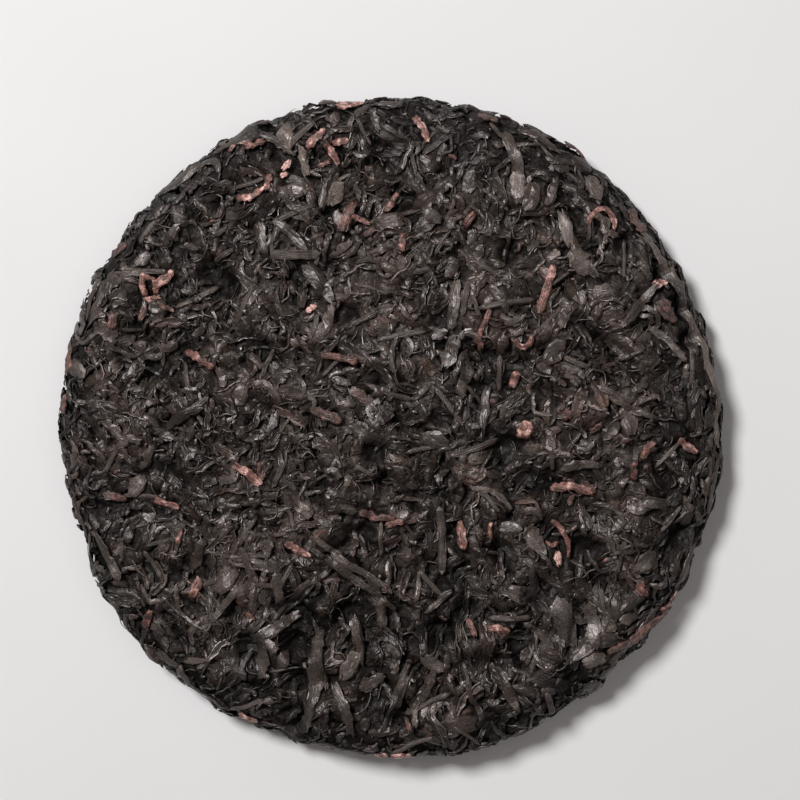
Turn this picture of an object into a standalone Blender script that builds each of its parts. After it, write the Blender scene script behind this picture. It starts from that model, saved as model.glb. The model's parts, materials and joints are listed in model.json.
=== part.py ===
"""A ripe pu-erh tea cake: a round cake of dark leaf pressed in a cloth bag, about 357 g.

It lies on its back with the smooth domed face up. The origin is at the middle of its underside,
+Z is up through the cake, and +Y is the side of the rim that was uppermost when it stood on edge.

The cake is one solid. A core carries bumps of the leaves' size, and the larger leaves, tips and
stalks that show are fused on to it at true size. All of them are laid out on a flat map of the
skin, in metres from the middle of a face, and draped over the cake's outline.
"""

import math
import random

import bmesh
import bpy
import numpy as np
from mathutils import Vector, noise
from mathutils.bvhtree import BVHTree

# Driving sizes, in metres. The leaves that stand proud bring the cake to 200 mm across.
RIM_RADIUS = 0.0990
CENTRE_HEIGHT = 0.0230
SHOULDER_HEIGHT = 0.0178
RIM_HEIGHT = 0.0085
SHOULDER_RADIUS = 0.0860
BASE_RADIUS = 0.0890
NEST_RADIUS = 0.0250
NEST_DEPTH = 0.0060
BASE_LIFT = 0.0004
DOME_POWER = 2.4
ROUNDNESS = 2.25

# The core's skin
CORE_POINTS = 1150
CORE_SHAKE = 0.35
BUMP_HEIGHT = 0.0024
BUMP_SIZE = 0.0080
SWELL_HEIGHT = 0.0016
SWELL_SIZE = 0.0300

# What is fused on: kind, how many on the shown face, how many on the back
FACE_COUNTS = {"twist": 104, "flake": 26, "tip": 26, "stalk": 8}
BACK_COUNTS = {"twist": 46, "flake": 12, "tip": 10, "stalk": 4}
RIM_COUNT = 44
FACE_REACH = 0.0900
BACK_NEAREST = 0.0300
SEED = 357

# Sizes of a kind: length, width and how far it stands above the skin, each from least to most
SIZES = {
    "twist": ((0.0130, 0.0200), (0.0030, 0.0042), (0.0011, 0.0018)),
    "flake": ((0.0130, 0.0180), (0.0080, 0.0110), (0.0010, 0.0014)),
    "tip": ((0.0100, 0.0145), (0.0026, 0.0034), (0.0012, 0.0017)),
    "stalk": ((0.0180, 0.0260), (0.0024, 0.0030), (0.0012, 0.0016)),
}
ROOT_DEPTH = 0.0012
EDGE_DEPTH = 0.0003

# How full a rolled leaf is at a quarter, a half and three quarters of its length
FULLNESS = {
    "twist": (0.75, 1.0, 0.85),
    "tip": (0.8, 1.0, 0.6),
    "stalk": (0.9, 1.0, 0.9),
}

# How far a leaf of its kind may turn along its length, either way, in radians
BENDS = {"twist": 1.2, "flake": 0.2, "tip": 1.2, "stalk": 0.2}

# A flake's rows along it, how wide it is at each, and its columns from side to side
FLAKE_ROWS = (0.02, 0.34, 0.66, 0.98)
FLAKE_SPANS = (0.45, 1.0, 0.9, 0.35)
FLAKE_COLUMNS = (-0.5, 0.0, 0.5)

# Leaves along the rim: how far out they start, how deep a band they fill, and how askew they lie
RIM_START = 0.0910
RIM_BAND = 0.0140
RIM_LANES = 7
RIM_ASKEW = 0.35

# Triangles left once the shallowest ones that fusing cut up are merged
TRIANGLES = 11400

# Leaves that stand out on the shown face: kind, x, y, heading in degrees, length, width, bend
NOTED = (
    ("tip", 0.0645, 0.0640, 90, 0.0150, 0.0021, 200),
    ("tip", 0.0475, 0.0425, 76, 0.0145, 0.0027, 8),
    ("tip", 0.0290, 0.0315, 66, 0.0120, 0.0020, -40),
    ("tip", 0.0110, 0.0900, -58, 0.0085, 0.0027, 10),
    ("tip", -0.0380, 0.0715, 22, 0.0115, 0.0021, 30),
    ("tip", -0.0405, -0.0120, -36, 0.0110, 0.0027, 6),
    ("tip", -0.0255, -0.0345, -28, 0.0085, 0.0026, 14),
    ("tip", 0.0555, -0.0160, -4, 0.0130, 0.0027, 4),
    ("tip", 0.0540, -0.0345, -62, 0.0140, 0.0020, -80),
    ("flake", 0.0765, -0.0595, 32, 0.0190, 0.0042, 20),
    ("flake", -0.0120, 0.0955, 8, 0.0090, 0.0060, 0),
    ("stalk", -0.0260, 0.0530, 0, 0.0140, 0.0022, 0),
    ("stalk", 0.0170, -0.0315, -86, 0.0200, 0.0030, 4),
    ("stalk", 0.0380, 0.0780, -72, 0.0200, 0.0032, 8),
    ("stalk", -0.0090, -0.0410, -42, 0.0340, 0.0026, -14),
    ("stalk", 0.0900, 0.0330, -72, 0.0330, 0.0036, -22),
    ("stalk", -0.0215, -0.0720, -96, 0.0240, 0.0052, 16),
)

GOLDEN_ANGLE = math.pi * (3 - math.sqrt(5))
OUTLINE_STEPS = 60
SLOPE_STEP = 0.0010
LOOK_FROM = 0.0060
BOARD_SNAP = 0.00003


def rounded(start, end, outwards):
    """A round shoulder between two (radius, height) points, a little fuller than an ellipse."""
    (r0, z0), (r1, z1) = start, end
    turns = np.linspace(0, math.pi / 2, OUTLINE_STEPS)
    rising = np.sin(turns) ** (2 / ROUNDNESS)
    falling = np.cos(turns) ** (2 / ROUNDNESS)
    if outwards:
        return np.stack([r0 + (r1 - r0) * rising, z1 + (z0 - z1) * falling], axis=1)
    return np.stack([r1 + (r0 - r1) * falling, z0 + (z1 - z0) * rising], axis=1)


def cake_outline():
    """The mean outline as (radius, height), from the middle of the face round the rim to the nest."""
    face_radii = np.linspace(0, SHOULDER_RADIUS, OUTLINE_STEPS)
    fall = (face_radii / SHOULDER_RADIUS) ** DOME_POWER
    face = np.stack([face_radii, CENTRE_HEIGHT + (SHOULDER_HEIGHT - CENTRE_HEIGHT) * fall], axis=1)
    shoulder = rounded((SHOULDER_RADIUS, SHOULDER_HEIGHT), (RIM_RADIUS, RIM_HEIGHT), True)
    heel = rounded((RIM_RADIUS, RIM_HEIGHT), (BASE_RADIUS, BASE_LIFT), False)
    base = np.array([(BASE_RADIUS, BASE_LIFT), (NEST_RADIUS, BASE_LIFT)])
    nest_radii = np.linspace(NEST_RADIUS, 0, OUTLINE_STEPS)
    hollow = BASE_LIFT + NEST_DEPTH * (1 + np.cos(math.pi * nest_radii / NEST_RADIUS)) / 2
    nest = np.stack([nest_radii, hollow], axis=1)
    return np.concatenate([face, shoulder[1:], heel[1:], base[1:], nest[1:]])


class Skin:
    """The cake's smooth outer surface, read by distance along its outline from the face's middle."""

    def __init__(self):
        outline = cake_outline()
        steps = np.linalg.norm(np.diff(outline, axis=0), axis=1)
        self.along = np.concatenate([[0], np.cumsum(steps)])
        self.radii, self.heights = outline[:, 0], outline[:, 1]
        rings = steps * (self.radii[1:] + self.radii[:-1])
        self.area_share = np.concatenate([[0], np.cumsum(rings) / rings.sum()])
        self.length = self.along[-1]

    def at(self, along, turn, lift=0.0):
        """The point at this distance and angle, raised by lift along the surface's normal."""
        along = min(max(along, 0.0), self.length)
        ends = (max(along - SLOPE_STEP, 0.0), min(along + SLOPE_STEP, self.length))
        r0, r1 = np.interp(ends, self.along, self.radii)
        z0, z1 = np.interp(ends, self.along, self.heights)
        slope = math.hypot(r1 - r0, z1 - z0)
        radius = np.interp(along, self.along, self.radii) - lift * (z1 - z0) / slope
        height = np.interp(along, self.along, self.heights) + lift * (r1 - r0) / slope
        return Vector((radius * math.cos(turn), radius * math.sin(turn), height))

    def at_share(self, share, turn):
        """The point of the bumpy skin that has this share of the smooth skin's area before it."""
        along = np.interp(share, self.area_share, self.along)
        return on_board(self.at(along, turn, bumps(self.at(along, turn))))


class Ground:
    """The core's own net of triangles, which the leaves are draped on."""

    def __init__(self, skin, core):
        self.skin = skin
        corners = [vertex.co.copy() for vertex in core.data.vertices]
        self.tree = BVHTree.FromPolygons(corners, [tuple(face.vertices) for face in core.data.polygons])

    def point(self, back, x, y, lift):
        """The point at x, y of the flat map of the face, or of the back, at lift above the core."""
        along, turn = math.hypot(x, y), math.atan2(y, x)
        if back:
            along = self.skin.length - along
        outside = self.skin.at(along, turn, LOOK_FROM)
        outwards = (outside - self.skin.at(along, turn)).normalized()
        return on_board(self.tree.ray_cast(outside, -outwards)[0] + lift * outwards)


def bumps(point):
    """How far the pressed leaves lift the skin here: short bumps of their size on longer swells."""
    short = noise.noise(point / BUMP_SIZE)
    long = noise.noise(point / SWELL_SIZE)
    return BUMP_HEIGHT * short + SWELL_HEIGHT * long


def on_board(point):
    """The point, or the one above it on the flat board that the cake was pressed on."""
    return Vector((point.x, point.y, max(point.z, 0.0)))


def new_object(name, mesh_builder, home):
    """An object in the collection home from a finished bmesh."""
    mesh = bpy.data.meshes.new(name)
    bmesh.ops.recalc_face_normals(mesh_builder, faces=mesh_builder.faces)
    mesh_builder.to_mesh(mesh)
    mesh_builder.free()
    made = bpy.data.objects.new(name, mesh)
    home.objects.link(made)
    return made


def make_core(skin, draw, home):
    """An even net of triangles with no pole: the hull of a spiral on a ball, moved on to the cake."""
    builder = bmesh.new()
    shake = CORE_SHAKE * math.sqrt(math.tau / CORE_POINTS)
    for index in range(CORE_POINTS):
        height = 1 - 2 * (index + 0.5) / CORE_POINTS
        ring = math.sqrt(1 - height * height)
        turn = index * GOLDEN_ANGLE + draw.uniform(-shake, shake) / ring
        spot = Vector((ring * math.cos(turn), ring * math.sin(turn), height + draw.uniform(-shake, shake)))
        builder.verts.new(spot.normalized())
    bmesh.ops.convex_hull(builder, input=builder.verts[:])
    for vertex in builder.verts:
        turn = math.atan2(vertex.co.y, vertex.co.x)
        vertex.co = skin.at_share((1 - vertex.co.z) / 2, turn)
    return new_object("tea_cake", builder, home)


class Lay:
    """Where one leaf lies: a bent line on the flat map of a face, and how to drape points on it."""

    def __init__(self, ground, back, x, y, heading, length, bend):
        self.ground, self.back, self.x, self.y = ground, back, x, y
        self.heading, self.length, self.bend = heading, length, bend

    def point(self, share, side, lift):
        """The point at this share of the length, this far to the side and above the skin."""
        steps = 12
        middle_x, middle_y = self.x, self.y
        for step in range(steps):
            turned = self.heading + self.bend * (share - 0.5) * (step + 0.5) / steps
            stride = (share - 0.5) * self.length / steps
            middle_x += stride * math.cos(turned)
            middle_y += stride * math.sin(turned)
        facing = self.heading + self.bend * (share - 0.5)
        x, y = middle_x - side * math.sin(facing), middle_y + side * math.cos(facing)
        return self.ground.point(self.back, x, y, lift)


def add_ring(builder, lay, share, corners):
    """One ring of vertices round a leaf, from (side, lift) pairs."""
    return [builder.verts.new(lay.point(share, side, lift)) for side, lift in corners]


def join_rings(builder, first, second):
    """Faces between two rings of the same number of vertices."""
    count = len(first)
    for index in range(count):
        after = (index + 1) % count
        builder.faces.new((first[index], first[after], second[after], second[index]))


def close_tip(builder, ring, tip):
    """Faces from a ring to the single vertex that ends a leaf."""
    for index in range(len(ring)):
        builder.faces.new((ring[index], ring[(index + 1) % len(ring)], tip))


def make_spindle(name, lay, width, lift, fullness, lean, home):
    """A rolled leaf, a tip or a stalk: a four-sided rod with sharp ends, whose ridge leans either way."""
    builder = bmesh.new()
    rings = []
    for index, full in enumerate(fullness):
        share = (index + 1) / (len(fullness) + 1)
        half = width * full / 2
        ridge = (half * lean * math.sin(math.tau * share), lift * full)
        corners = ((-half, -EDGE_DEPTH), ridge, (half, -EDGE_DEPTH), (-ridge[0], -ROOT_DEPTH))
        rings.append(add_ring(builder, lay, share, corners))
    for first, second in zip(rings, rings[1:]):
        join_rings(builder, first, second)
    sunk = -ROOT_DEPTH / 2
    close_tip(builder, rings[0][::-1], builder.verts.new(lay.point(0.0, 0.0, sunk)))
    close_tip(builder, rings[-1], builder.verts.new(lay.point(1.0, 0.0, sunk)))
    return new_object(name, builder, home)


def make_flake(name, lay, width, lift, phase, home):
    """A pressed flat leaf: a thin wavy sheet, both faces split alike, with its edges in the skin."""
    builder = bmesh.new()
    columns, rows = len(FLAKE_COLUMNS), len(FLAKE_ROWS)
    upper, lower = [], []
    for row, (share, span) in enumerate(zip(FLAKE_ROWS, FLAKE_SPANS)):
        for column, side in enumerate(FLAKE_COLUMNS):
            wave = 0.5 + 0.5 * math.sin(phase + 2.2 * row + 1.9 * column)
            inside = column == 1 and 0 < row < rows - 1
            top = lift * (0.75 + 0.5 * wave) if inside else lift * 0.45 * wave
            upper.append(builder.verts.new(lay.point(share, side * span * width, top)))
            lower.append(builder.verts.new(lay.point(share, side * span * width, top - ROOT_DEPTH)))
    for row in range(rows - 1):
        for column in range(columns - 1):
            first = row * columns + column
            corners = (first, first + 1, first + columns + 1, first + columns)
            for half in (corners[:3], (corners[0], corners[2], corners[3])):
                builder.faces.new([upper[corner] for corner in half])
                builder.faces.new([lower[corner] for corner in reversed(half)])
    around = list(range(columns))
    around += [row * columns + columns - 1 for row in range(1, rows)]
    around += [(rows - 1) * columns + column for column in range(columns - 2, -1, -1)]
    around += [row * columns for row in range(rows - 2, 0, -1)]
    for first, after in zip(around, around[1:] + around[:1]):
        builder.faces.new((upper[after], upper[first], lower[first], lower[after]))
    return new_object(name, builder, home)


def make_leaf(kind, name, lay, width, lift, draw, home):
    """One leaf of its kind."""
    if kind == "flake":
        return make_flake(name, lay, width, lift, draw.uniform(0, 6), home)
    lean = draw.uniform(-0.5, 0.5)
    return make_spindle(name, lay, width, lift, FULLNESS[kind], lean, home)


def spots(count, nearest, reach, draw):
    """Places spread evenly between two distances from the middle, each a little off its own."""
    for index in range(count):
        share = (index + 0.5) / count
        distance = math.sqrt(nearest**2 + (reach**2 - nearest**2) * share)
        turn = index * GOLDEN_ANGLE + draw.uniform(-0.25, 0.25)
        yield distance * math.cos(turn), distance * math.sin(turn)


def scatter(ground, back, kind, count, nearest, draw, home):
    """The leaves of one kind on one face, each turned its own way."""
    lengths, widths, lifts = SIZES[kind]
    for index, (x, y) in enumerate(spots(count, nearest, FACE_REACH, draw)):
        length, width, lift = draw.uniform(*lengths), draw.uniform(*widths), draw.uniform(*lifts)
        bend = draw.uniform(-BENDS[kind], BENDS[kind])
        lay = Lay(ground, back, x, y, draw.uniform(0, math.tau), length, bend)
        side = "back" if back else "face"
        make_leaf(kind, f"{kind}_{side}_{index}", lay, width, lift, draw, home)


def scatter_rim(ground, draw, home):
    """Rolled leaves that lie along the rim, on its shoulder, side and heel."""
    lengths, widths, lifts = SIZES["twist"]
    for index in range(RIM_COUNT):
        turn = index * math.tau / RIM_COUNT + draw.uniform(-0.08, 0.08)
        lane = (index * 5) % RIM_LANES / (RIM_LANES - 1)
        distance = RIM_START + RIM_BAND * lane
        heading = turn + math.pi / 2 + draw.uniform(-RIM_ASKEW, RIM_ASKEW)
        x, y = distance * math.cos(turn), distance * math.sin(turn)
        lay = Lay(ground, False, x, y, heading, draw.uniform(*lengths), -0.1)
        make_leaf("twist", f"rim_{index}", lay, draw.uniform(*widths), draw.uniform(*lifts), draw, home)


def place_noted(ground, draw, home):
    """The leaves that stand out on the shown face."""
    for index, (kind, x, y, heading, length, width, bend) in enumerate(NOTED):
        lay = Lay(ground, False, x, y, math.radians(heading), length, math.radians(-bend))
        lift = SIZES[kind][2][1]
        make_leaf(kind, f"noted_{index}", lay, width, lift, draw, home)


def apply_modifiers(cake):
    """Puts the object's evaluated mesh in the place of its own."""
    bpy.context.view_layer.update()
    graph = bpy.context.evaluated_depsgraph_get()
    shaped = bpy.data.meshes.new_from_object(cake.evaluated_get(graph))
    cake.modifiers.clear()
    cake.data = shaped


def fuse(cake, leaves):
    """One union of the core with all the leaves, which are then removed."""
    union = cake.modifiers.new("fused_leaves", "BOOLEAN")
    union.operation = "UNION"
    union.operand_type = "COLLECTION"
    union.collection = leaves
    union.solver = "MANIFOLD"
    apply_modifiers(cake)
    for leaf in list(leaves.objects):
        bpy.data.objects.remove(leaf)
    bpy.data.collections.remove(leaves)


def thin_out(cake):
    """Merges the shallowest triangles until the cake has only so many left."""
    triangles = sum(len(face.vertices) - 2 for face in cake.data.polygons)
    thinning = cake.modifiers.new("thinning", "DECIMATE")
    thinning.ratio = min(1.0, TRIANGLES / triangles)
    thinning.use_collapse_triangulate = True
    apply_modifiers(cake)


def drop_scraps(builder):
    """Deletes every body but the one with the most vertices."""
    left, bodies = set(builder.verts), []
    while left:
        body, waiting = [], [left.pop()]
        while waiting:
            vertex = waiting.pop()
            body.append(vertex)
            near = {edge.other_vert(vertex) for edge in vertex.link_edges} & left
            left -= near
            waiting.extend(near)
        bodies.append(body)
    bodies.sort(key=len)
    scraps = [vertex for body in bodies[:-1] for vertex in body]
    bmesh.ops.delete(builder, geom=scraps, context="VERTS")


def tidy_mesh(cake):
    """Lays what thinning moved back on the board, and drops loose scraps."""
    builder = bmesh.new()
    builder.from_mesh(cake.data)
    drop_scraps(builder)
    for vertex in builder.verts:
        if vertex.co.z < BOARD_SNAP:
            vertex.co.z = 0.0
    builder.to_mesh(cake.data)
    builder.free()


def centre_on_origin(cake):
    """Moves the mesh so that the middle of its box is over the origin."""
    corners = [Vector(corner) for corner in cake.bound_box]
    middle = sum(corners, Vector()) / len(corners)
    for vertex in cake.data.vertices:
        vertex.co.x -= middle.x
        vertex.co.y -= middle.y


def paint(cake):
    """The near-black brown of fermented leaf, dull with a faint sheen."""
    leaf = bpy.data.materials.new("dark_leaf")
    leaf.use_nodes = True
    shader = leaf.node_tree.nodes["Principled BSDF"]
    shader.inputs["Base Color"].default_value = (0.030, 0.022, 0.019, 1.0)
    shader.inputs["Roughness"].default_value = 0.55
    shader.inputs["Metallic"].default_value = 0.0
    cake.data.materials.clear()
    cake.data.materials.append(leaf)


def build():
    for old in list(bpy.data.objects):
        bpy.data.objects.remove(old)
    draw = random.Random(SEED)
    skin = Skin()
    scene_root = bpy.context.scene.collection
    leaves = bpy.data.collections.new("leaves")
    scene_root.children.link(leaves)
    cake = make_core(skin, draw, scene_root)
    ground = Ground(skin, cake)
    place_noted(ground, draw, leaves)
    scatter_rim(ground, draw, leaves)
    for kind, count in FACE_COUNTS.items():
        scatter(ground, False, kind, count, 0.0, draw, leaves)
    for kind, count in BACK_COUNTS.items():
        scatter(ground, True, kind, count, BACK_NEAREST, draw, leaves)
    fuse(cake, leaves)
    thin_out(cake)
    tidy_mesh(cake)
    centre_on_origin(cake)
    paint(cake)


build()
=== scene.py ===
"""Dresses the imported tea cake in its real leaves.

The cake is a core of pressed leaf with thousands of curled leaves, twisted strands, flakes, stalks,
buds and crumbs on it. All of them are laid out on a flat map of each side of the cake, where x and y
are the distance from the middle and z is the height above the pressed bed, and are then draped over
the cake's outline. Two maps cover it: the face's, which runs on round the rim, and the back's.
"""

import json
import math
import random

import bmesh
import bpy
import numpy as np
from bpy.props import FloatProperty, FloatVectorProperty, IntProperty, PointerProperty
from mathutils import Matrix, Vector, noise

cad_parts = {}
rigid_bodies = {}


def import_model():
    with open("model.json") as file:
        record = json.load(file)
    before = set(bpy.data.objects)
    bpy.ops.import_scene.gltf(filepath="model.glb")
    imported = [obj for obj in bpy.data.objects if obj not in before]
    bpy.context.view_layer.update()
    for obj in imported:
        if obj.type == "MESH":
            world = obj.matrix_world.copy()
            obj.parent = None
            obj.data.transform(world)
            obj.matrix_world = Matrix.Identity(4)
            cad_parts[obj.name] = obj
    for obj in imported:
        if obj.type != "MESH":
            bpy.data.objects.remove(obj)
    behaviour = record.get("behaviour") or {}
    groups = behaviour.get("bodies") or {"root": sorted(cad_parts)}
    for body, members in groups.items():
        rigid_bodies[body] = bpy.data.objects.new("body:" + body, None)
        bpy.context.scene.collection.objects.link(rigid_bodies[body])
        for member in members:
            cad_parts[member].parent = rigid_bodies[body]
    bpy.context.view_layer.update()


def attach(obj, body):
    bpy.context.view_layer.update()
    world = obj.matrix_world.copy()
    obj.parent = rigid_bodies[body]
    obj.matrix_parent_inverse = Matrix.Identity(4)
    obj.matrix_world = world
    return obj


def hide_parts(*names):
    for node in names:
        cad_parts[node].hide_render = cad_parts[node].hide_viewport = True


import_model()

bl_info = {
    "name": "Pressed tea cake",
    "version": (1, 0, 0),
    "blender": (4, 5, 0),
    "location": "View3D > Sidebar > Tea cake",
    "description": "Makes a pressed cake of dark tea leaf round its packed frame",
    "category": "Add Mesh",
}

FLOOR_RADIUS = 2.2
SWEEP_RADIUS = 0.9
SWEEP_STEPS = 9
FLOOR_SIDES = 96
NODE = "tea_cake"
BODY = "root"
MM = 0.001

# The cake's outline, as its solid has it
RIM_RADIUS = 0.0990
CENTRE_HEIGHT = 0.0230
SHOULDER_HEIGHT = 0.0178
RIM_HEIGHT = 0.0085
SHOULDER_RADIUS = 0.0860
BASE_RADIUS = 0.0890
NEST_RADIUS = 0.0250
NEST_DEPTH = 0.0060
BASE_LIFT = 0.0004
DOME_POWER = 2.4
ROUNDNESS = 2.25
BUMP_HEIGHT = 0.0024
BUMP_SIZE = 0.0080
SWELL_HEIGHT = 0.0016
SWELL_SIZE = 0.0300

OUTLINE_STEPS = 60
SLOPE_STEP = 0.0010
GOLDEN_ANGLE = math.pi * (3 - math.sqrt(5))
UV_SPAN = 0.040
FACE_MAP_REACH = 0.1130
BACK_MAP_REACH = 0.0960
# The press flattens whatever stands higher than this above the bed, more so at the rim and behind
PRESS_START = 0.0800
PRESS_END = 0.0960
PRESS_TOP = 0.0023
PRESS_TOP_RIM = 0.0018
RIM_CALM = 0.6
# What would lie lower than this is pressed up by the table
TABLE_PRESS = 0.0007
NOTED_LIFT = 0.0007
NOTED_MARGIN = 1.8
CLUMP_SIZE = 0.0120
CREVICE_DEPTH = 0.0021
CREVICE_WIDTH = 0.075
CLUMP_HEIGHT = 0.0012
COARSE_SWELL = 0.35
HOLLOW_GAIN = 1.3
# Painted shade: how much darker leaves are painted in each place, for each millimetre of depth in valleys,
# where it also stands for dirt, and in hollows, and at the rim, on the upper rim, over the coarse stretch
# below and on the back
VALLEY_SHADE = 0.34
HOLLOW_SHADE = 0.3
RIM_SHADE = 0.85
UPPER_RIM_SHADE = 0.34
COARSE_SHADE = 0.42
BACK_SHADE = 0.3
# How much thinner the scattered leaves lie in hollows, round the listed pieces and in the coarse stretch
HOLLOW_THINNING = 0.9
NOTED_THINNING = 0.75
COARSE_THINNING = 0.6
MAP_RINGS = 88
MAP_SEGMENTS = 240
PACKING = 1.35

# Deep gaps between the leaves of the face: x, y, radius and depth in millimetres
# The second to the twenty-ninth lie where a measuring script found the photograph darkest. The first
# was moved from such a spot. Radii, depths and the other rows were chosen while looking at it.
HOLLOWS = (
    (-51.5, 48.0, 4.2, 3.4), (-15.7, 50.7, 3.4, 1.6), (57.7, 32.3, 3.2, 1.6), (70.7, 56.2, 3.0, 1.6),
    (-35.3, 24.2, 3.2, 1.5), (16.6, 34.1, 3.0, 1.5), (-68.0, 19.3, 3.4, 1.5), (36.5, 53.2, 3.0, 1.4),
    (36.8, -4.2, 3.8, 1.7), (59.8, -33.8, 4.0, 1.9), (35.3, -35.0, 3.2, 1.6), (87.9, -30.8, 4.0, 1.8),
    (-62.2, -42.3, 3.8, 1.7), (4.8, -53.5, 4.2, 2.0), (-41.1, -64.0, 4.0, 1.8), (-27.5, -85.5, 4.2, 2.0),
    (32.9, -88.2, 3.6, 1.6), (56.8, -72.2, 3.8, 1.6), (-20.8, -48.3, 3.4, 1.6), (7.6, 65.5, 3.0, 1.3),
    (-2.1, 17.5, 3.2, 1.5), (-10.6, 35.3, 3.0, 1.4), (16.3, 4.8, 3.4, 1.6), (-3.3, -5.1, 3.4, 1.5),
    (-22.0, -17.5, 3.2, 1.5), (42.3, -12.4, 3.0, 1.4), (-72.2, -10.9, 3.0, 1.3), (-31.7, 83.7, 2.8, 1.2),
    (-25.1, -65.2, 3.4, 1.6), (90.0, 28.0, 2.6, 2.4), (81.8, 46.8, 2.4, 2.2), (87.4, 36.0, 2.4, 2.4),
    (24.0, -52.0, 3.2, 1.6), (-88.0, -24.0, 2.8, 1.2), (-47.0, 44.5, 4.2, 3.2), (-26.0, -53.0, 5.0, 3.4),
    (-27.0, -64.0, 3.6, 3.2), (-28.0, -74.0, 3.6, 3.2), (-27.0, -91.0, 3.6, 2.6), (16.0, -60.0, 4.0, 2.4),
    (4.0, -86.0, 3.4, 2.2), (-12.0, -53.0, 3.0, 1.6), (9.0, -63.0, 2.8, 1.5), (39.0, -62.0, 3.0, 1.5),
    (-5.0, -30.0, 2.6, 1.4),
)

# Red-brown buds that stand out on the face: x, y, heading, length, width, bend, how red
# Places and sizes are in millimetres, angles in degrees
BUDS = (
    (64.0, 63.7, 0, 15.0, 2.0, 195, 0.9), (47.5, 42.5, 74, 14.5, 2.7, 6, 0.85),
    (11.0, 90.0, -60, 8.5, 2.8, 10, 0.9), (29.0, 31.5, 66, 11.0, 2.2, -30, 0.75),
    (-39.5, 70.5, 16, 10.0, 2.2, -24, 0.9), (-34.2, 74.0, 86, 5.0, 2.0, 6, 0.8),
    (-15.5, 82.5, -55, 7.5, 2.0, 30, 0.85), (-13.0, 85.8, 4, 5.0, 2.2, 0, 0.8),
    (-20.5, 87.0, 48, 7.5, 2.2, -20, 0.85), (-18.0, 79.5, 20, 4.0, 1.3, 60, 0.7),
    (-11.0, 98.5, 20, 8.0, 4.6, 0, 1.0), (-11.0, 64.0, 70, 9.0, 3.2, 30, 0.6),
    (-7.0, 63.0, -20, 6.0, 2.0, 0, 0.8), (2.0, 68.0, 55, 6.5, 2.0, 10, 0.7),
    (25.0, 63.0, 60, 5.0, 2.4, 0, 0.7), (5.5, 56.0, 85, 5.5, 1.8, 0, 0.7),
    (-72.5, 44.0, 100, 7.0, 2.0, 20, 0.85), (-66.5, 45.5, 35, 7.5, 2.2, -40, 0.9),
    (-70.0, 40.0, 10, 5.0, 2.0, 0, 0.95), (-66.0, 37.5, -30, 6.0, 1.8, 10, 0.4),
    (-68.5, 43.0, 70, 4.5, 2.2, 30, 0.8), (-70.5, 46.0, -20, 4.0, 2.0, 40, 0.7),
    (-72.5, 35.5, 70, 5.0, 1.8, 0, 0.6), (-81.5, 33.0, 80, 5.0, 2.0, 0, 0.55),
    (-96.0, 21.0, 70, 8.0, 3.6, 0, 0.6), (-55.0, 22.0, -30, 10.0, 2.6, 16, 0.8),
    (-13.0, 22.5, -8, 11.0, 3.4, 10, 0.55), (-17.0, 5.5, -24, 10.0, 3.6, 0, 0.35),
    (-40.5, -12.0, -34, 10.5, 2.8, 6, 0.9), (-66.0, -22.0, -18, 8.0, 2.0, 20, 0.75),
    (-61.5, -31.5, 80, 5.0, 1.8, 0, 0.6), (-25.5, -34.5, -28, 8.5, 2.6, 14, 0.9),
    (-57.0, -47.0, 76, 6.5, 2.6, 0, 0.75), (-2.0, -24.5, -10, 11.0, 3.0, 24, 0.5),
    (3.0, -26.5, 20, 5.5, 2.0, 0, 0.7), (23.0, -30.0, -82, 8.5, 3.4, 0, 0.8),
    (31.5, -28.5, 100, 5.0, 1.4, 90, 0.85), (41.5, 1.5, 76, 5.5, 3.6, 0, 1.0),
    (41.1, 27.0, 0, 8.0, 1.5, -175, 0.75), (38.5, 16.0, 70, 5.0, 2.2, 20, 0.65),
    (55.5, -16.0, -6, 13.0, 2.5, 6, 0.72), (53.0, -30.5, -62, 13.0, 1.9, 75, 0.8),
    (51.5, -36.8, -80, 4.2, 2.2, 0, 1.5), (76.5, -46.0, -60, 5.0, 2.4, 0, 0.65),
    (34.0, -58.0, -10, 7.0, 2.6, 0, 0.8), (26.0, -57.5, -60, 5.0, 2.0, 20, 0.65),
    (62.0, 2.0, 30, 4.0, 2.2, 0, 0.5), (77.5, -4.5, 50, 6.5, 2.4, 40, 0.7),
    (89.5, -3.5, -40, 6.5, 2.6, 0, 0.7), (73.5, -10.5, 100, 5.5, 1.8, 120, 0.5),
    (74.5, 63.0, -70, 8.0, 4.0, 0, 0.45), (57.0, 85.0, -30, 8.0, 2.6, 0, 0.5),
    (30.0, 92.5, -16, 6.0, 2.2, 0, 0.55), (-45.0, 85.0, 60, 4.5, 1.8, 0, 0.75),
    (-42.0, 86.0, -20, 5.0, 2.0, 0, 0.85), (-38.5, 85.2, 20, 6.0, 1.7, 20, 0.65),
    (-82.0, -20.0, -10, 7.0, 2.6, 0, 0.45), (-72.5, -57.5, 70, 7.0, 2.8, 0, 0.55),
    (-42.5, -88.5, -20, 6.0, 3.2, 0, 1.0), (4.5, -98.0, -10, 6.0, 3.2, 20, 1.2),
    (-1.5, -98.0, 30, 4.0, 2.4, 0, 1.0), (79.0, -58.0, 34, 18.0, 3.8, 10, 0.62),
    (70.5, -63.5, 24, 9.0, 3.2, 0, 0.5), (81.0, 44.5, 20, 4.5, 2.6, 0, 1.2),
    (83.0, 36.5, -50, 8.0, 5.5, 0, 0.36), (7.0, -88.0, -70, 4.0, 1.8, 0, 0.6),
    (28.0, 27.0, 100, 5.0, 1.8, 10, 0.6), (-15.5, -44.0, 10, 5.0, 1.6, 0, 0.4),
    (-80.5, 54.5, 30, 6.0, 2.0, 20, 0.4), (-29.2, 79.4, 60, 3.4, 2.2, 0, 1.5),
    (-29.8, 76.4, 20, 2.2, 1.4, 0, 1.4), (-21.4, 36.8, 30, 3.4, 2.0, 0, 1.3),
    (-97.5, 8.0, 80, 6.0, 3.0, 0, 0.5), (86.0, -51.5, 48, 8.0, 2.2, 0, 0.85),
)

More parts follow.
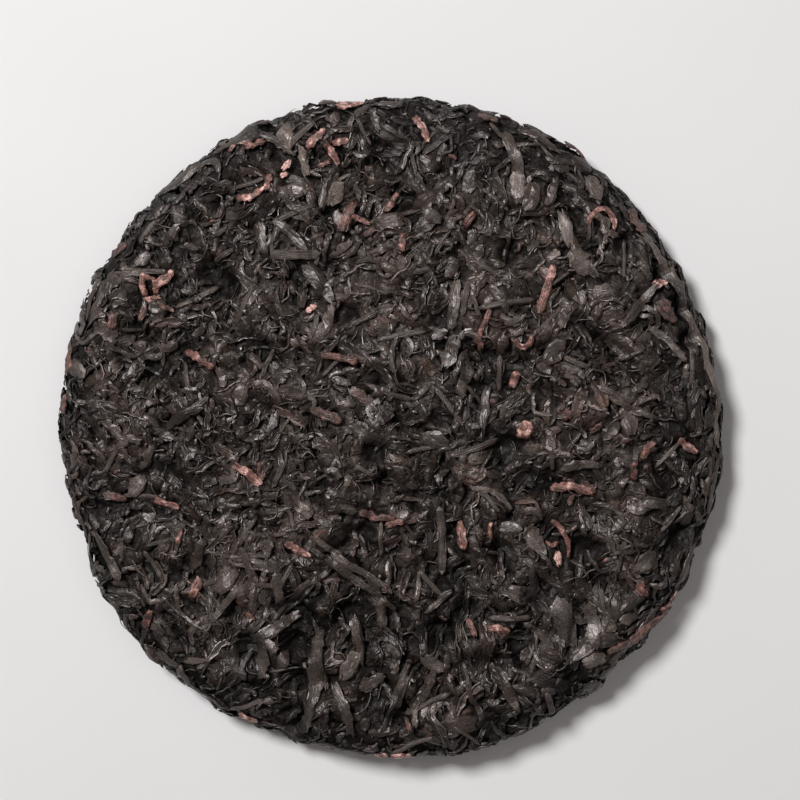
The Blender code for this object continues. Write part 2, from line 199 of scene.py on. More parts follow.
# Straight sticks that stand out on the face, as above, without how red
STICKS = (
    (-26.0, 53.0, 0, 14.5, 2.4, 0), (17.0, -31.5, -88, 21.0, 2.6, 4), (-48.0, -52.0, 50, 13.0, 1.9, 0),
    (24.0, 40.0, 80, 11.0, 1.7, -6), (-56.0, 8.0, 34, 10.0, 1.6, 6), (46.0, -60.0, -40, 12.0, 2.0, 4),
    (-31.0, -12.0, 62, 9.0, 1.5, 0), (68.0, 12.0, -24, 12.0, 1.7, 6), (-6.0, 34.0, 24, 9.0, 1.5, 0),
    (6.0, -72.0, 70, 11.0, 2.0, 0), (-70.0, -40.0, -60, 10.0, 1.7, 4),
)

# Long dark leaves that stand out on the face, as above, and then how pale
LONG_LEAVES = (
    (38.5, 79.5, -74, 19.0, 3.2, 8, 0.2), (-20.5, -69.0, 84, 22.0, 4.4, 14, 0.5),
    (-23.5, -85.0, 70, 17.0, 3.2, -20, 0.3), (0.0, 18.0, -50, 12.0, 2.6, 8, 0.2),
    (73.0, 8.0, -24, 15.0, 2.2, 10, 0.3), (75.0, 38.5, 50, 17.0, 2.4, -16, 0.5),
    (-60.0, 5.0, 30, 13.0, 2.4, 30, 0.3), (-12.0, -83.0, -70, 16.0, 3.2, 26, 0.4),
    (12.0, -76.0, 60, 14.0, 3.0, -20, 0.3), (-84.0, -38.0, -62, 15.0, 2.8, 8, 0.2),
    (-64.0, -72.0, -44, 14.0, 3.0, 6, 0.1), (-62.0, 76.0, 38, 15.0, 2.8, 10, 0.2),
    (30.0, 8.0, 84, 12.0, 2.2, 24, 0.5), (-8.0, -62.0, -80, 15.0, 3.2, 30, 0.2),
    (36.0, -76.0, -56, 15.0, 3.4, 12, 0.1), (-40.0, -40.0, -70, 12.0, 2.4, 20, 0.2),
    (58.0, 52.0, -60, 14.0, 3.0, -30, 0.1), (-33.0, -59.0, 31, 16.0, 3.2, 4, 0.75),
    (-2.0, -50.0, -76, 17.0, 2.8, 22, 0.1), (-36.0, -63.0, -20, 8.0, 3.4, 20, 0.8),
    (-10.0, -69.5, 60, 9.0, 4.6, 10, 0.95), (-3.5, -75.0, 30, 8.0, 4.0, -14, 0.9),
    (14.5, -68.0, -30, 7.0, 3.6, 0, 0.9), (19.5, 24.5, 70, 9.0, 4.4, 10, 0.9),
    (16.0, -50.0, 42, 9.5, 1.6, 20, 0.9), (9.5, -83.0, 80, 9.5, 1.6, 10, 0.9),
    (20.5, 38.0, 84, 14.0, 2.4, 26, 0.8), (-19.0, 44.5, -52, 13.0, 4.2, 6, 0.0),
    (57.5, -9.0, 10, 10.0, 2.6, 20, 0.6), (-10.5, -38.0, -36, 26.0, 2.1, -6, 0.6),
    (-9.0, -43.4, -37, 30.0, 2.1, 4, 0.3), (32.3, -17.8, -25, 13.0, 1.6, 50, 0.95),
    (83.5, 27.0, -42, 14.0, 2.0, 10, 0.6), (80.3, 35.5, -85, 7.5, 1.6, 0, 0.4),
    (39.3, 72.5, -84, 9.0, 3.4, 0, 0.8), (61.3, 72.5, -60, 7.0, 3.6, 0, 0.85),
    (52.9, 60.5, -75, 10.0, 3.0, 0, 0.75), (57.4, 50.8, -60, 8.0, 4.5, 0, 0.55),
    (-52.5, 79.5, 0, 11.0, 2.0, 200, 0.6), (-27.5, 58.5, -43, 12.0, 2.8, 4, 0.75),
    (-36.0, 57.5, -80, 9.0, 2.4, 0, 0.55), (-16.6, 72.5, 70, 13.0, 2.0, 30, 0.2),
    (-24.0, 80.5, -80, 8.0, 2.6, 0, 0.95), (-32.0, 86.0, -30, 12.0, 1.8, 30, 0.3),
    (10.0, -45.5, 84, 8.5, 1.4, 0, 0.8), (54.0, -56.0, -75, 15.0, 4.6, 0, 0.4),
    (61.5, -57.0, -80, 13.0, 4.0, 0, 0.3), (44.7, -31.5, -60, 9.0, 4.6, 0, 0.8),
)

# Leaves that lie along the rim: angle round the cake, distance from its middle, length, width, how pale
RIM_LEAVES = (
    (32, 95.5, 20.0, 2.0, 0.8), (23, 96.5, 24.0, 2.2, 1.35), (13, 97.5, 22.0, 2.0, 1.3),
    (3, 98.5, 18.0, 1.6, 0.8), (40, 96.5, 15.0, 1.5, 0.3), (-9, 99.0, 16.0, 1.5, 0.3),
    (-24, 98.5, 14.0, 1.6, 0.2), (-37, 96.5, 14.0, 1.7, 0.2), (62, 97.0, 13.0, 1.4, 0.1),
    (118, 97.5, 12.0, 1.5, 0.1), (156, 97.0, 12.0, 1.4, 0.2), (196, 98.0, 12.0, 1.4, 0.2),
    (236, 97.5, 14.0, 1.5, 0.1), (262, 98.0, 15.0, 1.6, 0.5),
)


def spacing_setting(name, description, default, least=0.001):
    """A distance between pieces of one kind."""
    return FloatProperty(name=name, description=description, default=default, min=least, unit="LENGTH")


def colour_setting(name, description, default):
    """A colour that can be changed."""
    return FloatVectorProperty(
        name=name, description=description, subtype="COLOR", size=3, default=default, min=0, max=1,
    )


class TeaCakeSizes(bpy.types.PropertyGroup):
    """How large the leaves are and how thick they lie."""

    patch_spacing: spacing_setting("Patch spacing", "Least distance between broad pressed leaves", 0.0052)
    flake_spacing: spacing_setting(
        "Flake spacing", "Least distance between the small flakes in the gaps", 0.0040,
    )
    curl_spacing: spacing_setting("Curl spacing", "Least distance between rolled leaves", 0.0050)
    strand_spacing: spacing_setting("Strand spacing", "Least distance between twisted strands", 0.0056)
    long_spacing: spacing_setting(
        "Long leaf spacing", "Least distance between the long leaves of the coarse stretch", 0.0056,
    )
    thread_spacing: spacing_setting("Shred spacing", "Least distance between fine shreds", 0.0042)
    pressed_spacing: spacing_setting(
        "Pressed leaf spacing", "Distance between the leaves in the core's relief", 0.0034,
    )
    crumb_spacing: spacing_setting("Crumb spacing", "Least distance between crumbs", 0.0030, 0.0005)
    stalk_spacing: spacing_setting(
        "Stalk spacing", "Least distance between scattered stalks", 0.0120, 0.002,
    )
    tip_spacing: spacing_setting("Bud spacing", "Least distance between scattered buds", 0.0170, 0.002)
    core_points: IntProperty(
        name="Core points", description="Points of the core's skin before it is refined once",
        default=24000, min=1000, max=24900,
    )
    core_sink: FloatProperty(
        name="Core depth", description="How far the core lies below the bed of the loose leaves",
        default=0.0002, unit="LENGTH",
    )


class TeaCakeColours(bpy.types.PropertyGroup):
    """The colours of fermented leaf."""

    shade_leaf: colour_setting("Dark leaf", "The darkest leaf", (0.0150, 0.0090, 0.0066))
    mid_leaf: colour_setting("Leaf", "Most leaves", (0.0255, 0.0212, 0.0189))
    dusty_leaf: colour_setting("Dusty leaf", "Leaf with pale dust on its ridges", (0.0700, 0.0595, 0.0530))
    russet_leaf: colour_setting("Russet leaf", "The few reddish leaves", (0.046, 0.029, 0.024))
    bud_dark: colour_setting("Dark bud", "The dull end of a bud", (0.045, 0.026, 0.023))
    bud_red: colour_setting("Red-brown bud", "Most of a bud", (0.128, 0.060, 0.050))
    bud_bright: colour_setting("Bright bud", "The coppery end of a bud", (0.400, 0.262, 0.232))


class TeaCakeStage(bpy.types.PropertyGroup):
    """The camera, the lights and the floor."""

    lens: FloatProperty(name="Lens", description="Focal length in millimetres", default=85.0, min=20.0)
    distance: FloatProperty(
        name="Distance", description="From the camera to the cake", default=0.5600, unit="LENGTH",
    )
    lean_right: FloatProperty(
        name="Lean right", description="How far the camera stands to the right of the cake's axis",
        default=math.radians(4.0), subtype="ANGLE",
    )
    lean_up: FloatProperty(
        name="Lean up", description="How far the camera stands above the cake's axis",
        default=math.radians(3.5), subtype="ANGLE",
    )
    key_power: FloatProperty(name="Key light", description="Power of the key in watts", default=34.3)
    fill_power: FloatProperty(name="Fill light", description="Power of the fill in watts", default=1.5)
    light_colour: colour_setting("Light colour", "The slightly warm light of the lamps", (1.0, 0.915, 0.888))
    floor_colour: colour_setting("Floor", "The plain pale floor", (0.505, 0.545, 0.565))


def rounded(start, end, outwards):
    """A round shoulder between two (radius, height) points, a little fuller than an ellipse."""
    (r0, z0), (r1, z1) = start, end
    turns = np.linspace(0, math.pi / 2, OUTLINE_STEPS)
    rising = np.sin(turns) ** (2 / ROUNDNESS)
    falling = np.cos(turns) ** (2 / ROUNDNESS)
    if outwards:
        return np.stack([r0 + (r1 - r0) * rising, z1 + (z0 - z1) * falling], axis=1)
    return np.stack([r1 + (r0 - r1) * falling, z0 + (z1 - z0) * rising], axis=1)


def cake_outline():
    """The mean outline as (radius, height), from the middle of the face round the rim to the nest."""
    face_radii = np.linspace(0, SHOULDER_RADIUS, OUTLINE_STEPS)
    fall = (face_radii / SHOULDER_RADIUS) ** DOME_POWER
    face = np.stack([face_radii, CENTRE_HEIGHT + (SHOULDER_HEIGHT - CENTRE_HEIGHT) * fall], axis=1)
    shoulder = rounded((SHOULDER_RADIUS, SHOULDER_HEIGHT), (RIM_RADIUS, RIM_HEIGHT), True)
    heel = rounded((RIM_RADIUS, RIM_HEIGHT), (BASE_RADIUS, BASE_LIFT), False)
    base = np.array([(BASE_RADIUS, BASE_LIFT), (NEST_RADIUS, BASE_LIFT)])
    nest_radii = np.linspace(NEST_RADIUS, 0, OUTLINE_STEPS)
    hollow = BASE_LIFT + NEST_DEPTH * (1 + np.cos(math.pi * nest_radii / NEST_RADIUS)) / 2
    nest = np.stack([nest_radii, hollow], axis=1)
    return np.concatenate([face, shoulder[1:], heel[1:], base[1:], nest[1:]])


def smooth_step(values, low, high):
    """0 below low, 1 above high and smooth between them."""
    share = np.clip((values - low) / (high - low), 0, 1)
    return share * share * (3 - 2 * share)


def bumps(point):
    """How far the pressed leaves lift the skin here: short bumps of their size on longer swells."""
    short = noise.noise(point / BUMP_SIZE)
    long = noise.noise(point / SWELL_SIZE)
    return BUMP_HEIGHT * short + SWELL_HEIGHT * long


def hollow_depth(points):
    """How deep the listed hollows are at these points of the face's map."""
    depths = np.zeros(len(points))
    for x, y, radius, depth in HOLLOWS:
        away = np.hypot(points[:, 0] - x * MM, points[:, 1] - y * MM) / (radius * MM)
        depths = np.maximum(depths, depth * MM * HOLLOW_GAIN * np.exp(-(away**4)))
    return depths


def clump(point):
    """How far a clump of leaves swells up here, or sags."""
    return CLUMP_HEIGHT * noise.noise(point / (1.2 * CLUMP_SIZE) + Vector((5.2, 3.3, 9.1)))


def noted_cover(points):
    """1 where a leaf, stick or bud of the lists lies on the face, 0 away from them."""
    cover = np.zeros(len(points))
    for x, y, heading, length, width, *_ in (*BUDS, *STICKS, *LONG_LEAVES):
        turn = math.radians(heading)
        right, up = points[:, 0] / MM - x, points[:, 1] / MM - y
        along = np.abs(right * math.cos(turn) + up * math.sin(turn))
        across = up * math.cos(turn) - right * math.sin(turn)
        away = np.hypot(np.clip(along - length / 2, 0, None), across)
        cover = np.maximum(cover, 1 - smooth_step(away, width / 2, width / 2 + NOTED_MARGIN))
    return cover


def crevice(point):
    """The depth of the winding gaps between one clump of leaves and the next."""
    winding = noise.noise(point / CLUMP_SIZE + Vector((7.3, 1.9, 4.4)))
    strength = 0.5 + noise.noise(point / (2.4 * CLUMP_SIZE) + Vector((2.1, 8.7, 5.5)))
    return CREVICE_DEPTH * max(0.0, strength) * math.exp(-((winding / CREVICE_WIDTH) ** 2))


def pressed_up(heights):
    """Heights above the table, where what would reach under it stays above it in the same order."""
    low = np.minimum(heights / TABLE_PRESS, 1.0)
    return np.where(low < 1, TABLE_PRESS * np.exp(low - 1), heights)


def shade(points, back):
    """How much painted shade darkens a leaf here: in valleys, where it also stands for dirt, in hollows, at
    the rim, on the upper rim, over the coarse stretch below and on the back.
    """
    away = np.hypot(points[:, 0], points[:, 1])
    # Painted shade in the valleys of the bed, where it also stands for dirt
    painted_shade = -VALLEY_SHADE * SKIN.bed(back)(points) / MM
    if back:
        return painted_shade + BACK_SHADE
    # Painted shade in the hollows and at the rim
    painted_shade += HOLLOW_SHADE * hollow_depth(points) / MM + RIM_SHADE * smooth_step(away, 0.078, 0.095)
    # Painted shade over the coarse stretch below the middle
    middle = 1 - smooth_step(np.abs(points[:, 0]), 0.048, 0.070)
    painted_shade += COARSE_SHADE * middle * smooth_step(-points[:, 1], 0.030, 0.056)
    # Painted shade on the upper rim, which faces the key light
    upper_rim = smooth_step(points[:, 1], 0.020, 0.060) * smooth_step(away, 0.066, 0.084)
    return painted_shade + UPPER_RIM_SHADE * upper_rim


class Ripple:
    """Smooth random waves between 0 and 1, read for many points at once."""

    def __init__(self, seed):
        self.cells = 48
        self.values = np.random.default_rng(seed).random((self.cells,) * 3)

    def __call__(self, points, size):
        places = points / size
        whole = np.floor(places).astype(int)
        part = places - whole
        part = part * part * (3 - 2 * part)
        total = 0.0
        for corner in np.ndindex(2, 2, 2):
            weight = np.prod(np.where(corner, part, 1 - part), axis=1)
            at = (whole + corner) % self.cells
            total = total + weight * self.values[at[:, 0], at[:, 1], at[:, 2]]
        return total


class Bed:
    """How high the pressed bed stands above the smooth outline, on a square lattice of samples."""

    step = 0.0011

    def __init__(self, skin, back):
        self.reach = BACK_MAP_REACH + 0.012 if back else FACE_MAP_REACH + 0.012
        count = int(2 * self.reach / self.step) + 2
        places = np.arange(count) * self.step - self.reach
        across, up = np.meshgrid(places, places, indexing="ij")
        flat = np.stack([across.ravel(), up.ravel(), np.zeros(across.size)], axis=1)
        smooth = skin.lay(flat, back, 0.0)
        heights = np.array([
            bumps(Vector(point)) + clump(Vector(point)) - crevice(Vector(point)) for point in smooth
        ])
        away = np.hypot(flat[:, 0], flat[:, 1])
        heights *= np.interp(away, (PRESS_START, PRESS_END), (1.0, RIM_CALM))
        if not back:
            heights *= 1 + COARSE_SWELL * smooth_step(-flat[:, 1], 0.034, 0.060)
            heights -= hollow_depth(flat)
        self.heights = heights.reshape(count, count)

    def __call__(self, points):
        places = np.clip((points[:, :2] + self.reach) / self.step, 0, self.heights.shape[0] - 1.001)
        whole = np.floor(places).astype(int)
        part = places - whole
        low, high = self.heights[whole[:, 0], whole[:, 1]], self.heights[whole[:, 0] + 1, whole[:, 1]]
        far_low = self.heights[whole[:, 0], whole[:, 1] + 1]
        far_high = self.heights[whole[:, 0] + 1, whole[:, 1] + 1]
        near = low + (high - low) * part[:, 0]
        far = far_low + (far_high - far_low) * part[:, 0]
        return near + (far - near) * part[:, 1]


class Skin:
    """The cake's smooth outer surface, read by distance along its outline from the face's middle."""

    def __init__(self):
        outline = cake_outline()
        steps = np.linalg.norm(np.diff(outline, axis=0), axis=1)
        self.along = np.concatenate([[0], np.cumsum(steps)])
        self.radii, self.heights = outline[:, 0], outline[:, 1]
        self.length = self.along[-1]
        middles = (self.along[1:] + self.along[:-1]) / 2
        crowding = np.where(middles < SHOULDER_RADIUS + 0.014, 2.3, 1.0)
        rings = steps * (self.radii[1:] + self.radii[:-1]) * crowding
        self.point_share = np.concatenate([[0], np.cumsum(rings) / rings.sum()])
        self.beds = {}

    def at(self, along, turn, lift):
        """The points at these distances and angles, raised by lift along the surface's normal."""
        along = np.clip(along, 0, self.length)
        before = np.clip(along - SLOPE_STEP, 0, None)
        after = np.clip(along + SLOPE_STEP, None, self.length)
        rise = np.interp(after, self.along, self.heights) - np.interp(before, self.along, self.heights)
        run = np.interp(after, self.along, self.radii) - np.interp(before, self.along, self.radii)
        slope = np.hypot(rise, run)
        radius = np.interp(along, self.along, self.radii) - lift * rise / slope
        height = np.interp(along, self.along, self.heights) + lift * run / slope
        return np.stack([radius * np.cos(turn), radius * np.sin(turn), height], axis=1)

    def lay(self, points, back, lift):
        """Points of a flat map, laid on the smooth surface at lift above it."""
        along = np.hypot(points[:, 0], points[:, 1])
        turn = np.arctan2(points[:, 1], points[:, 0])
        if back:
            return self.at(self.length - along, -turn, lift)
        return self.at(along, turn, lift)

    def bed(self, back):
        """The bed of this side."""
        if back not in self.beds:
            self.beds[back] = Bed(self, back)
        return self.beds[back]

    def drape(self, points, back):
        """Points of a flat map, pressed on the bed at about their own height, never below the table."""
        away = np.hypot(points[:, 0], points[:, 1])
        tallest = np.interp(away, (PRESS_START, PRESS_END), (PRESS_TOP, PRESS_TOP_RIM))
        if back:
            tallest = np.full(len(points), PRESS_TOP_RIM)
        height = np.where(points[:, 2] > 0, tallest * np.tanh(points[:, 2] / tallest), points[:, 2])
        laid = self.lay(points, back, height + self.bed(back)(points))
        laid[:, 2] = pressed_up(laid[:, 2])
        return laid


SKIN = Skin()


def vertex_array(mesh):
    """The mesh's vertices as rows of x, y, z."""
    places = np.empty(len(mesh.vertices) * 3, dtype=np.float32)
    mesh.vertices.foreach_get("co", places)
    return places.reshape(-1, 3).astype(float)


def set_vertices(mesh, places):
    """Moves the mesh's vertices to these rows of x, y, z."""
    mesh.vertices.foreach_set("co", places.astype(np.float32).ravel())
    mesh.update()


def set_values(mesh, name, values):
    """Stores one number a vertex under this name, for the material to read."""
    if name in mesh.attributes:
        mesh.attributes.remove(mesh.attributes[name])
    stored = mesh.attributes.new(name, "FLOAT", "POINT")
    stored.data.foreach_set("value", values.astype(np.float32))


def new_piece(name, mesh):
    """An object in the scene, at the origin, from a finished mesh."""
    old = bpy.data.objects.get(name)
    if old is not None:
        bpy.data.objects.remove(old)
    made = bpy.data.objects.new(name, mesh)
    bpy.context.scene.collection.objects.link(made)
    return made


def hand_over(piece):
    """Ties a finished piece to the frame and hides the cake's solid, which it stands for."""
    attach(piece, BODY)
    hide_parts(NODE)


# Leaf shapes, each made once round the origin and lying along X


def blunt(share, near_end, far_end):
    """How full a leaf is along its length: rounded off over near_end and far_end of it."""
    rise = min(1.0, share / near_end)
    fall = min(1.0, (1 - share) / far_end)
    return math.sqrt(max(0.0, 1 - (1 - rise) ** 2)) * math.sqrt(max(0.0, 1 - (1 - fall) ** 2))


def bent_line(form, steps):
    """The middle line of a bent leaf: x, y and heading at each share of its length, round its middle."""
    line, x, y = [], 0.0, 0.0
    for index, share in enumerate(steps):
        waver = math.sin(math.tau * share) + 0.7 * math.sin(2.6 * math.tau * share + 1.0)
        heading = form["bend"] * (share - 0.5) + form["sway"] * waver
        if index:
            stride = form["length"] * (share - steps[index - 1])
            x += stride * math.cos(heading)
            y += stride * math.sin(heading)
        line.append((x, y, heading))
    mid_x = sum(point[0] for point in line) / len(line)
    mid_y = sum(point[1] for point in line) / len(line)
    return [(px - mid_x, py - mid_y, heading) for px, py, heading in line]


def add_rolled(builder, form, draw, place=(0.0, 0.0, 0.0)):
    """Adds one closed tube with ridges that wind along it, such as a bud or a stalk.

    form holds its length, width and height in metres, the rings and sides it is made of, its bend and
    sway in radians, how deep its flutes are, how often they wind, how rough it is, and its two ends.
    """
    rings, sides = form["rings"], form["sides"]
    uv = builder.loops.layers.uv.verify()
    steps = np.linspace(0, 1, rings + 2)
    line = bent_line(form, steps)
    girth = math.pi * form["width"] / UV_SPAN
    phase = draw.uniform(0, math.tau)
    ridges = [1 + form["rough"] * draw.uniform(-1, 1) for _ in range(sides)]
    made = []
    for index in range(1, rings + 1):
        share = steps[index]
        full = blunt(share, *form["ends"]) * (1 + form["rough"] * draw.uniform(-0.6, 0.6))
        arch = form["arch"] * form["height"] * math.sin(math.pi * share)
        x, y, heading = line[index]
        ring = []
        for side in range(sides):
            angle = math.tau * side / sides
            flute = 1 + form["flute"] * math.cos(form["ridges"] * angle + phase + form["wind"] * share)
            reach = full * flute * ridges[side] * (1 + form["rough"] * draw.uniform(-0.5, 0.5))
            aside = form["width"] / 2 * reach * math.cos(angle)
            up = form["height"] * (0.5 + 0.5 * reach * math.sin(angle)) + arch
            at_x = x - aside * math.sin(heading)
            at_y = y + aside * math.cos(heading)
            ring.append(builder.verts.new(turned_place(at_x, at_y, up, place)))
        made.append(ring)
    ends = [
        builder.verts.new(turned_place(line[index][0], line[index][1], form["height"] * 0.45, place))
        for index in (0, rings + 1)
    ]
    lengthwise = form["length"] / UV_SPAN
    for row in range(rings - 1):
        for side in range(sides):
            after = (side + 1) % sides
            face = builder.faces.new(
                (made[row][side], made[row][after], made[row + 1][after], made[row + 1][side])
            )
            corners = ((row, side), (row, side + 1), (row + 1, side + 1), (row + 1, side))
            for loop, (at_row, at_side) in zip(face.loops, corners):
                loop[uv].uv = (steps[at_row + 1] * lengthwise, at_side / sides * girth)
    for side in range(sides):
        after = (side + 1) % sides
        near = builder.faces.new((made[0][after], made[0][side], ends[0]))
        far = builder.faces.new((made[-1][side], made[-1][after], ends[1]))
        for face, share in ((near, 0.0), (far, 1.0)):
            for loop in face.loops:
                loop[uv].uv = (share * lengthwise, (side + 0.5) / sides * girth)
    return [vertex for ring in made for vertex in ring] + ends


def add_sheet(builder, form, draw, place=(0.0, 0.0, 0.0)):
    """Adds one crumpled leaf: a thin closed sheet, rolled or folded across and bent along its length.

    form holds the length, the width along the sheet, the thickness, the rows and columns, how far the
    edges roll up or down, how deep and how often it is folded, its twist, bend, sway and crumpling,
    how uneven its width is, how far its ends are torn and how much of its width is left at them.
    """
    rows, columns = form["rows"], form["columns"]
    uv = builder.loops.layers.uv.verify()
    steps = np.linspace(0, 1, rows)
    line = bent_line(form, steps)
    phase, wind = draw.uniform(0, math.tau), draw.uniform(-2.5, 2.5)
    sides = np.linspace(-1, 1, columns)
    upper, lower, places = [], [], []
    for index, share in enumerate(steps):
        full = form["tip"] + (1 - form["tip"]) * blunt(min(max(share, 0.02), 0.98), *form["ends"])
        half = form["width"] / 2 * full * (1 + form["uneven"] * draw.uniform(-1, 1))
        pleats = np.sin(form["folds"] * math.pi * sides + phase + wind * share)
        turn = form["roll"] * sides + form["fold"] * pleats
        stride = half * (sides[1] - sides[0])
        aside = np.concatenate([[0], np.cumsum((np.cos(turn[1:]) + np.cos(turn[:-1])) / 2 * stride)])
        up = np.concatenate([[0], np.cumsum((np.sin(turn[1:]) + np.sin(turn[:-1])) / 2 * stride)])
        aside -= aside.mean()
        up -= up.mean()
        spin = form["twist"] * (share - 0.5) + form["lean"]
        x, y, heading = line[index]
        for column in range(columns):
            side_way = aside[column] * math.cos(spin) - up[column] * math.sin(spin)
            height = aside[column] * math.sin(spin) + up[column] * math.cos(spin)
            facing = turn[column] + spin
            side_way += form["crumple"] * draw.uniform(-1, 1)
            height += form["crumple"] * draw.uniform(-1, 1) + form["arch"] * math.sin(math.pi * share)
            along = form["crumple"] * 1.6 * draw.uniform(-1, 1)
            if index in (0, rows - 1):
                along += form["torn"] * draw.uniform(-1, 1)
            for layer, offset in ((upper, form["thick"] / 2), (lower, -form["thick"] / 2)):
                across = side_way - offset * math.sin(facing)
                at_x = x + along * math.cos(heading) - across * math.sin(heading)
                at_y = y + along * math.sin(heading) + across * math.cos(heading)
                at_z = (height + offset * math.cos(facing)) * form["squash"]
                layer.append(builder.verts.new(turned_place(at_x, at_y, at_z, place)))
            places.append((share * form["length"] / UV_SPAN, sides[column] * half / UV_SPAN))
    lowest = min(vertex.co.z for vertex in lower + upper)
    for vertex in lower + upper:
        vertex.co.z -= lowest
    for row in range(rows - 1):
        for column in range(columns - 1):
            first = row * columns + column
            corners = (first, first + columns, first + columns + 1, first + 1)
            add_mapped(builder, uv, upper, corners, places)
            add_mapped(builder, uv, lower, corners[::-1], places)
    around = list(range(columns))
    around += [row * columns + columns - 1 for row in range(1, rows)]
    around += [(rows - 1) * columns + column for column in range(columns - 2, -1, -1)]
    around += [row * columns for row in range(rows - 2, 0, -1)]
    for first, after in zip(around, around[1:] + around[:1]):
        face = builder.faces.new((upper[first], upper[after], lower[after], lower[first]))
        for loop, corner in zip(face.loops, (first, after, after, first)):
            loop[uv].uv = places[corner]
    return upper + lower


def add_mapped(builder, uv, vertices, corners, places):
    """Adds one face of a sheet, with its place on the sheet as its UV."""
    face = builder.faces.new([vertices[corner] for corner in corners])
    for loop, corner in zip(face.loops, corners):
        loop[uv].uv = places[corner]


def turned_place(x, y, z, place):
    """The point x, y, z turned by the place's heading and moved to it."""
    at_x, at_y, heading = place
    cosine, sine = math.cos(heading), math.sin(heading)
    return (at_x + x * cosine - y * sine, at_y + x * sine + y * cosine, z)


def add_crumb(builder, size, draw):
    """Adds one broken crumb of leaf, an uneven chip."""
    uv = builder.loops.layers.uv.verify()
    made = bmesh.ops.create_icosphere(builder, subdivisions=1, radius=size / 2)["verts"]
    stretch = Vector((draw.uniform(1.0, 1.6), draw.uniform(0.5, 0.9), draw.uniform(0.35, 0.6)))
    for vertex in made:
        vertex.co = vertex.co * stretch * draw.uniform(0.7, 1.25)
        vertex.co.z += size * 0.25
    for face in builder.faces:
        for loop in face.loops:
            loop[uv].uv = (loop.vert.co.x / UV_SPAN + 0.1, loop.vert.co.y / UV_SPAN + 0.1)


def variants(name, count, add, smooth=False):
    """A collection of count shapes of one kind, outside the scene, for the scattering to pick from."""
    home = bpy.data.collections.new(name)
    for index in range(count):
        builder = bmesh.new()
        add(builder)
        bmesh.ops.recalc_face_normals(builder, faces=builder.faces)
        for face in builder.faces:
            face.smooth = smooth
        mesh = bpy.data.meshes.new(f"{name}_{index:02d}")
        builder.to_mesh(mesh)
        builder.free()
        home.objects.link(bpy.data.objects.new(mesh.name, mesh))
    return home


def clear_variants(home):
    """Removes the shapes once they are scattered."""
    for shape in list(home.objects):
        mesh = shape.data
        bpy.data.objects.remove(shape)
        bpy.data.meshes.remove(mesh)
    bpy.data.collections.remove(home)


def patch_form(draw):
    """A broad pressed piece of leaf, nearly flat, with a fold or two."""
    return {
        "length": draw.uniform(5.5, 11.5) * MM, "width": draw.uniform(3.6, 7.0) * MM, "thick": 0.24 * MM,
        "rows": 7, "columns": 7, "roll": draw.choice((-1, 1)) * draw.uniform(0.1, 0.8),
        "fold": draw.uniform(0.45, 1.0), "folds": draw.uniform(1.0, 2.4), "twist": draw.uniform(-0.5, 0.5),
        "lean": draw.uniform(-0.15, 0.15), "bend": draw.uniform(-0.8, 0.8), "sway": draw.uniform(-0.3, 0.3),
        "crumple": draw.uniform(0.08, 0.18) * MM, "arch": draw.uniform(-0.2, 0.5) * MM, "squash": 0.80,
        "torn": 0.5 * MM, "tip": 0.25, "uneven": 0.25,
        "ends": (draw.uniform(0.03, 0.4), draw.uniform(0.05, 0.5)),
    }


def flake_form(draw):
    """A small crumpled flake that lies low and fills a gap between larger leaves."""
    form = patch_form(draw)
    form.update(length=draw.uniform(3.5, 7.5) * MM, width=draw.uniform(2.4, 5.0) * MM, rows=6, columns=5,
                fold=draw.uniform(0.6, 1.2), folds=draw.uniform(1.4, 2.8), crumple=0.20 * MM, uneven=0.35)
    return form


def curl_form(draw):
    """A short leaf that rolled up as it dried."""
    return {
        "length": draw.uniform(4.2, 9.0) * MM, "width": draw.uniform(3.4, 6.4) * MM, "thick": 0.26 * MM,
        "rows": 7, "columns": 6, "roll": draw.choice((-1, -1, 1)) * draw.uniform(0.9, 2.5),
        "fold": draw.uniform(0.2, 0.8), "folds": draw.uniform(1.0, 2.6), "twist": draw.uniform(-1.6, 1.6),
        "lean": draw.uniform(-0.5, 0.5), "bend": draw.uniform(-1.9, 1.9), "sway": draw.uniform(-0.7, 0.7),
        "crumple": draw.uniform(0.06, 0.15) * MM, "arch": draw.uniform(-0.2, 0.7) * MM, "squash": 0.85,
        "torn": 0.5 * MM, "tip": 0.25, "uneven": 0.25,
        "ends": (draw.uniform(0.03, 0.3), draw.uniform(0.05, 0.5)),
    }


def strand_form(draw):
    """A long leaf twisted into a strand."""
    return {
        "length": draw.uniform(8.5, 16.5) * MM, "width": draw.uniform(2.8, 4.6) * MM, "thick": 0.30 * MM,
        "rows": 10, "columns": 5, "roll": draw.choice((-1, 1)) * draw.uniform(1.2, 2.5),
        "fold": draw.uniform(0.2, 0.6), "folds": draw.uniform(1.0, 2.0), "twist": draw.uniform(-3.5, 3.5),
        "lean": draw.uniform(-0.8, 0.8), "bend": draw.uniform(-1.5, 1.5), "sway": draw.uniform(-0.6, 0.6),
        "crumple": draw.uniform(0.05, 0.12) * MM, "arch": draw.uniform(-0.2, 0.6) * MM, "squash": 0.90,
        "torn": 0.7 * MM, "tip": 0.25, "uneven": 0.25,
        "ends": (draw.uniform(0.03, 0.2), draw.uniform(0.05, 0.6)),
    }


def long_form(draw):
    """A long coarse leaf, folded lengthwise."""
    return {
        "length": draw.uniform(11.0, 22.0) * MM, "width": draw.uniform(3.0, 6.0) * MM, "thick": 0.28 * MM,
        "rows": 13, "columns": 7, "roll": draw.choice((-1, 1)) * draw.uniform(0.8, 2.4),
        "fold": draw.uniform(0.6, 1.2), "folds": draw.uniform(1.4, 2.8), "twist": draw.uniform(-2.6, 2.6),
        "lean": draw.uniform(-0.6, 0.6), "bend": draw.uniform(-1.0, 1.0), "sway": draw.uniform(-0.6, 0.6),
        "crumple": draw.uniform(0.14, 0.26) * MM, "arch": draw.uniform(-0.2, 0.7) * MM, "squash": 0.85,
        "torn": 0.8 * MM, "tip": 0.25, "uneven": 0.25,
        "ends": (draw.uniform(0.03, 0.2), draw.uniform(0.05, 0.5)),
    }


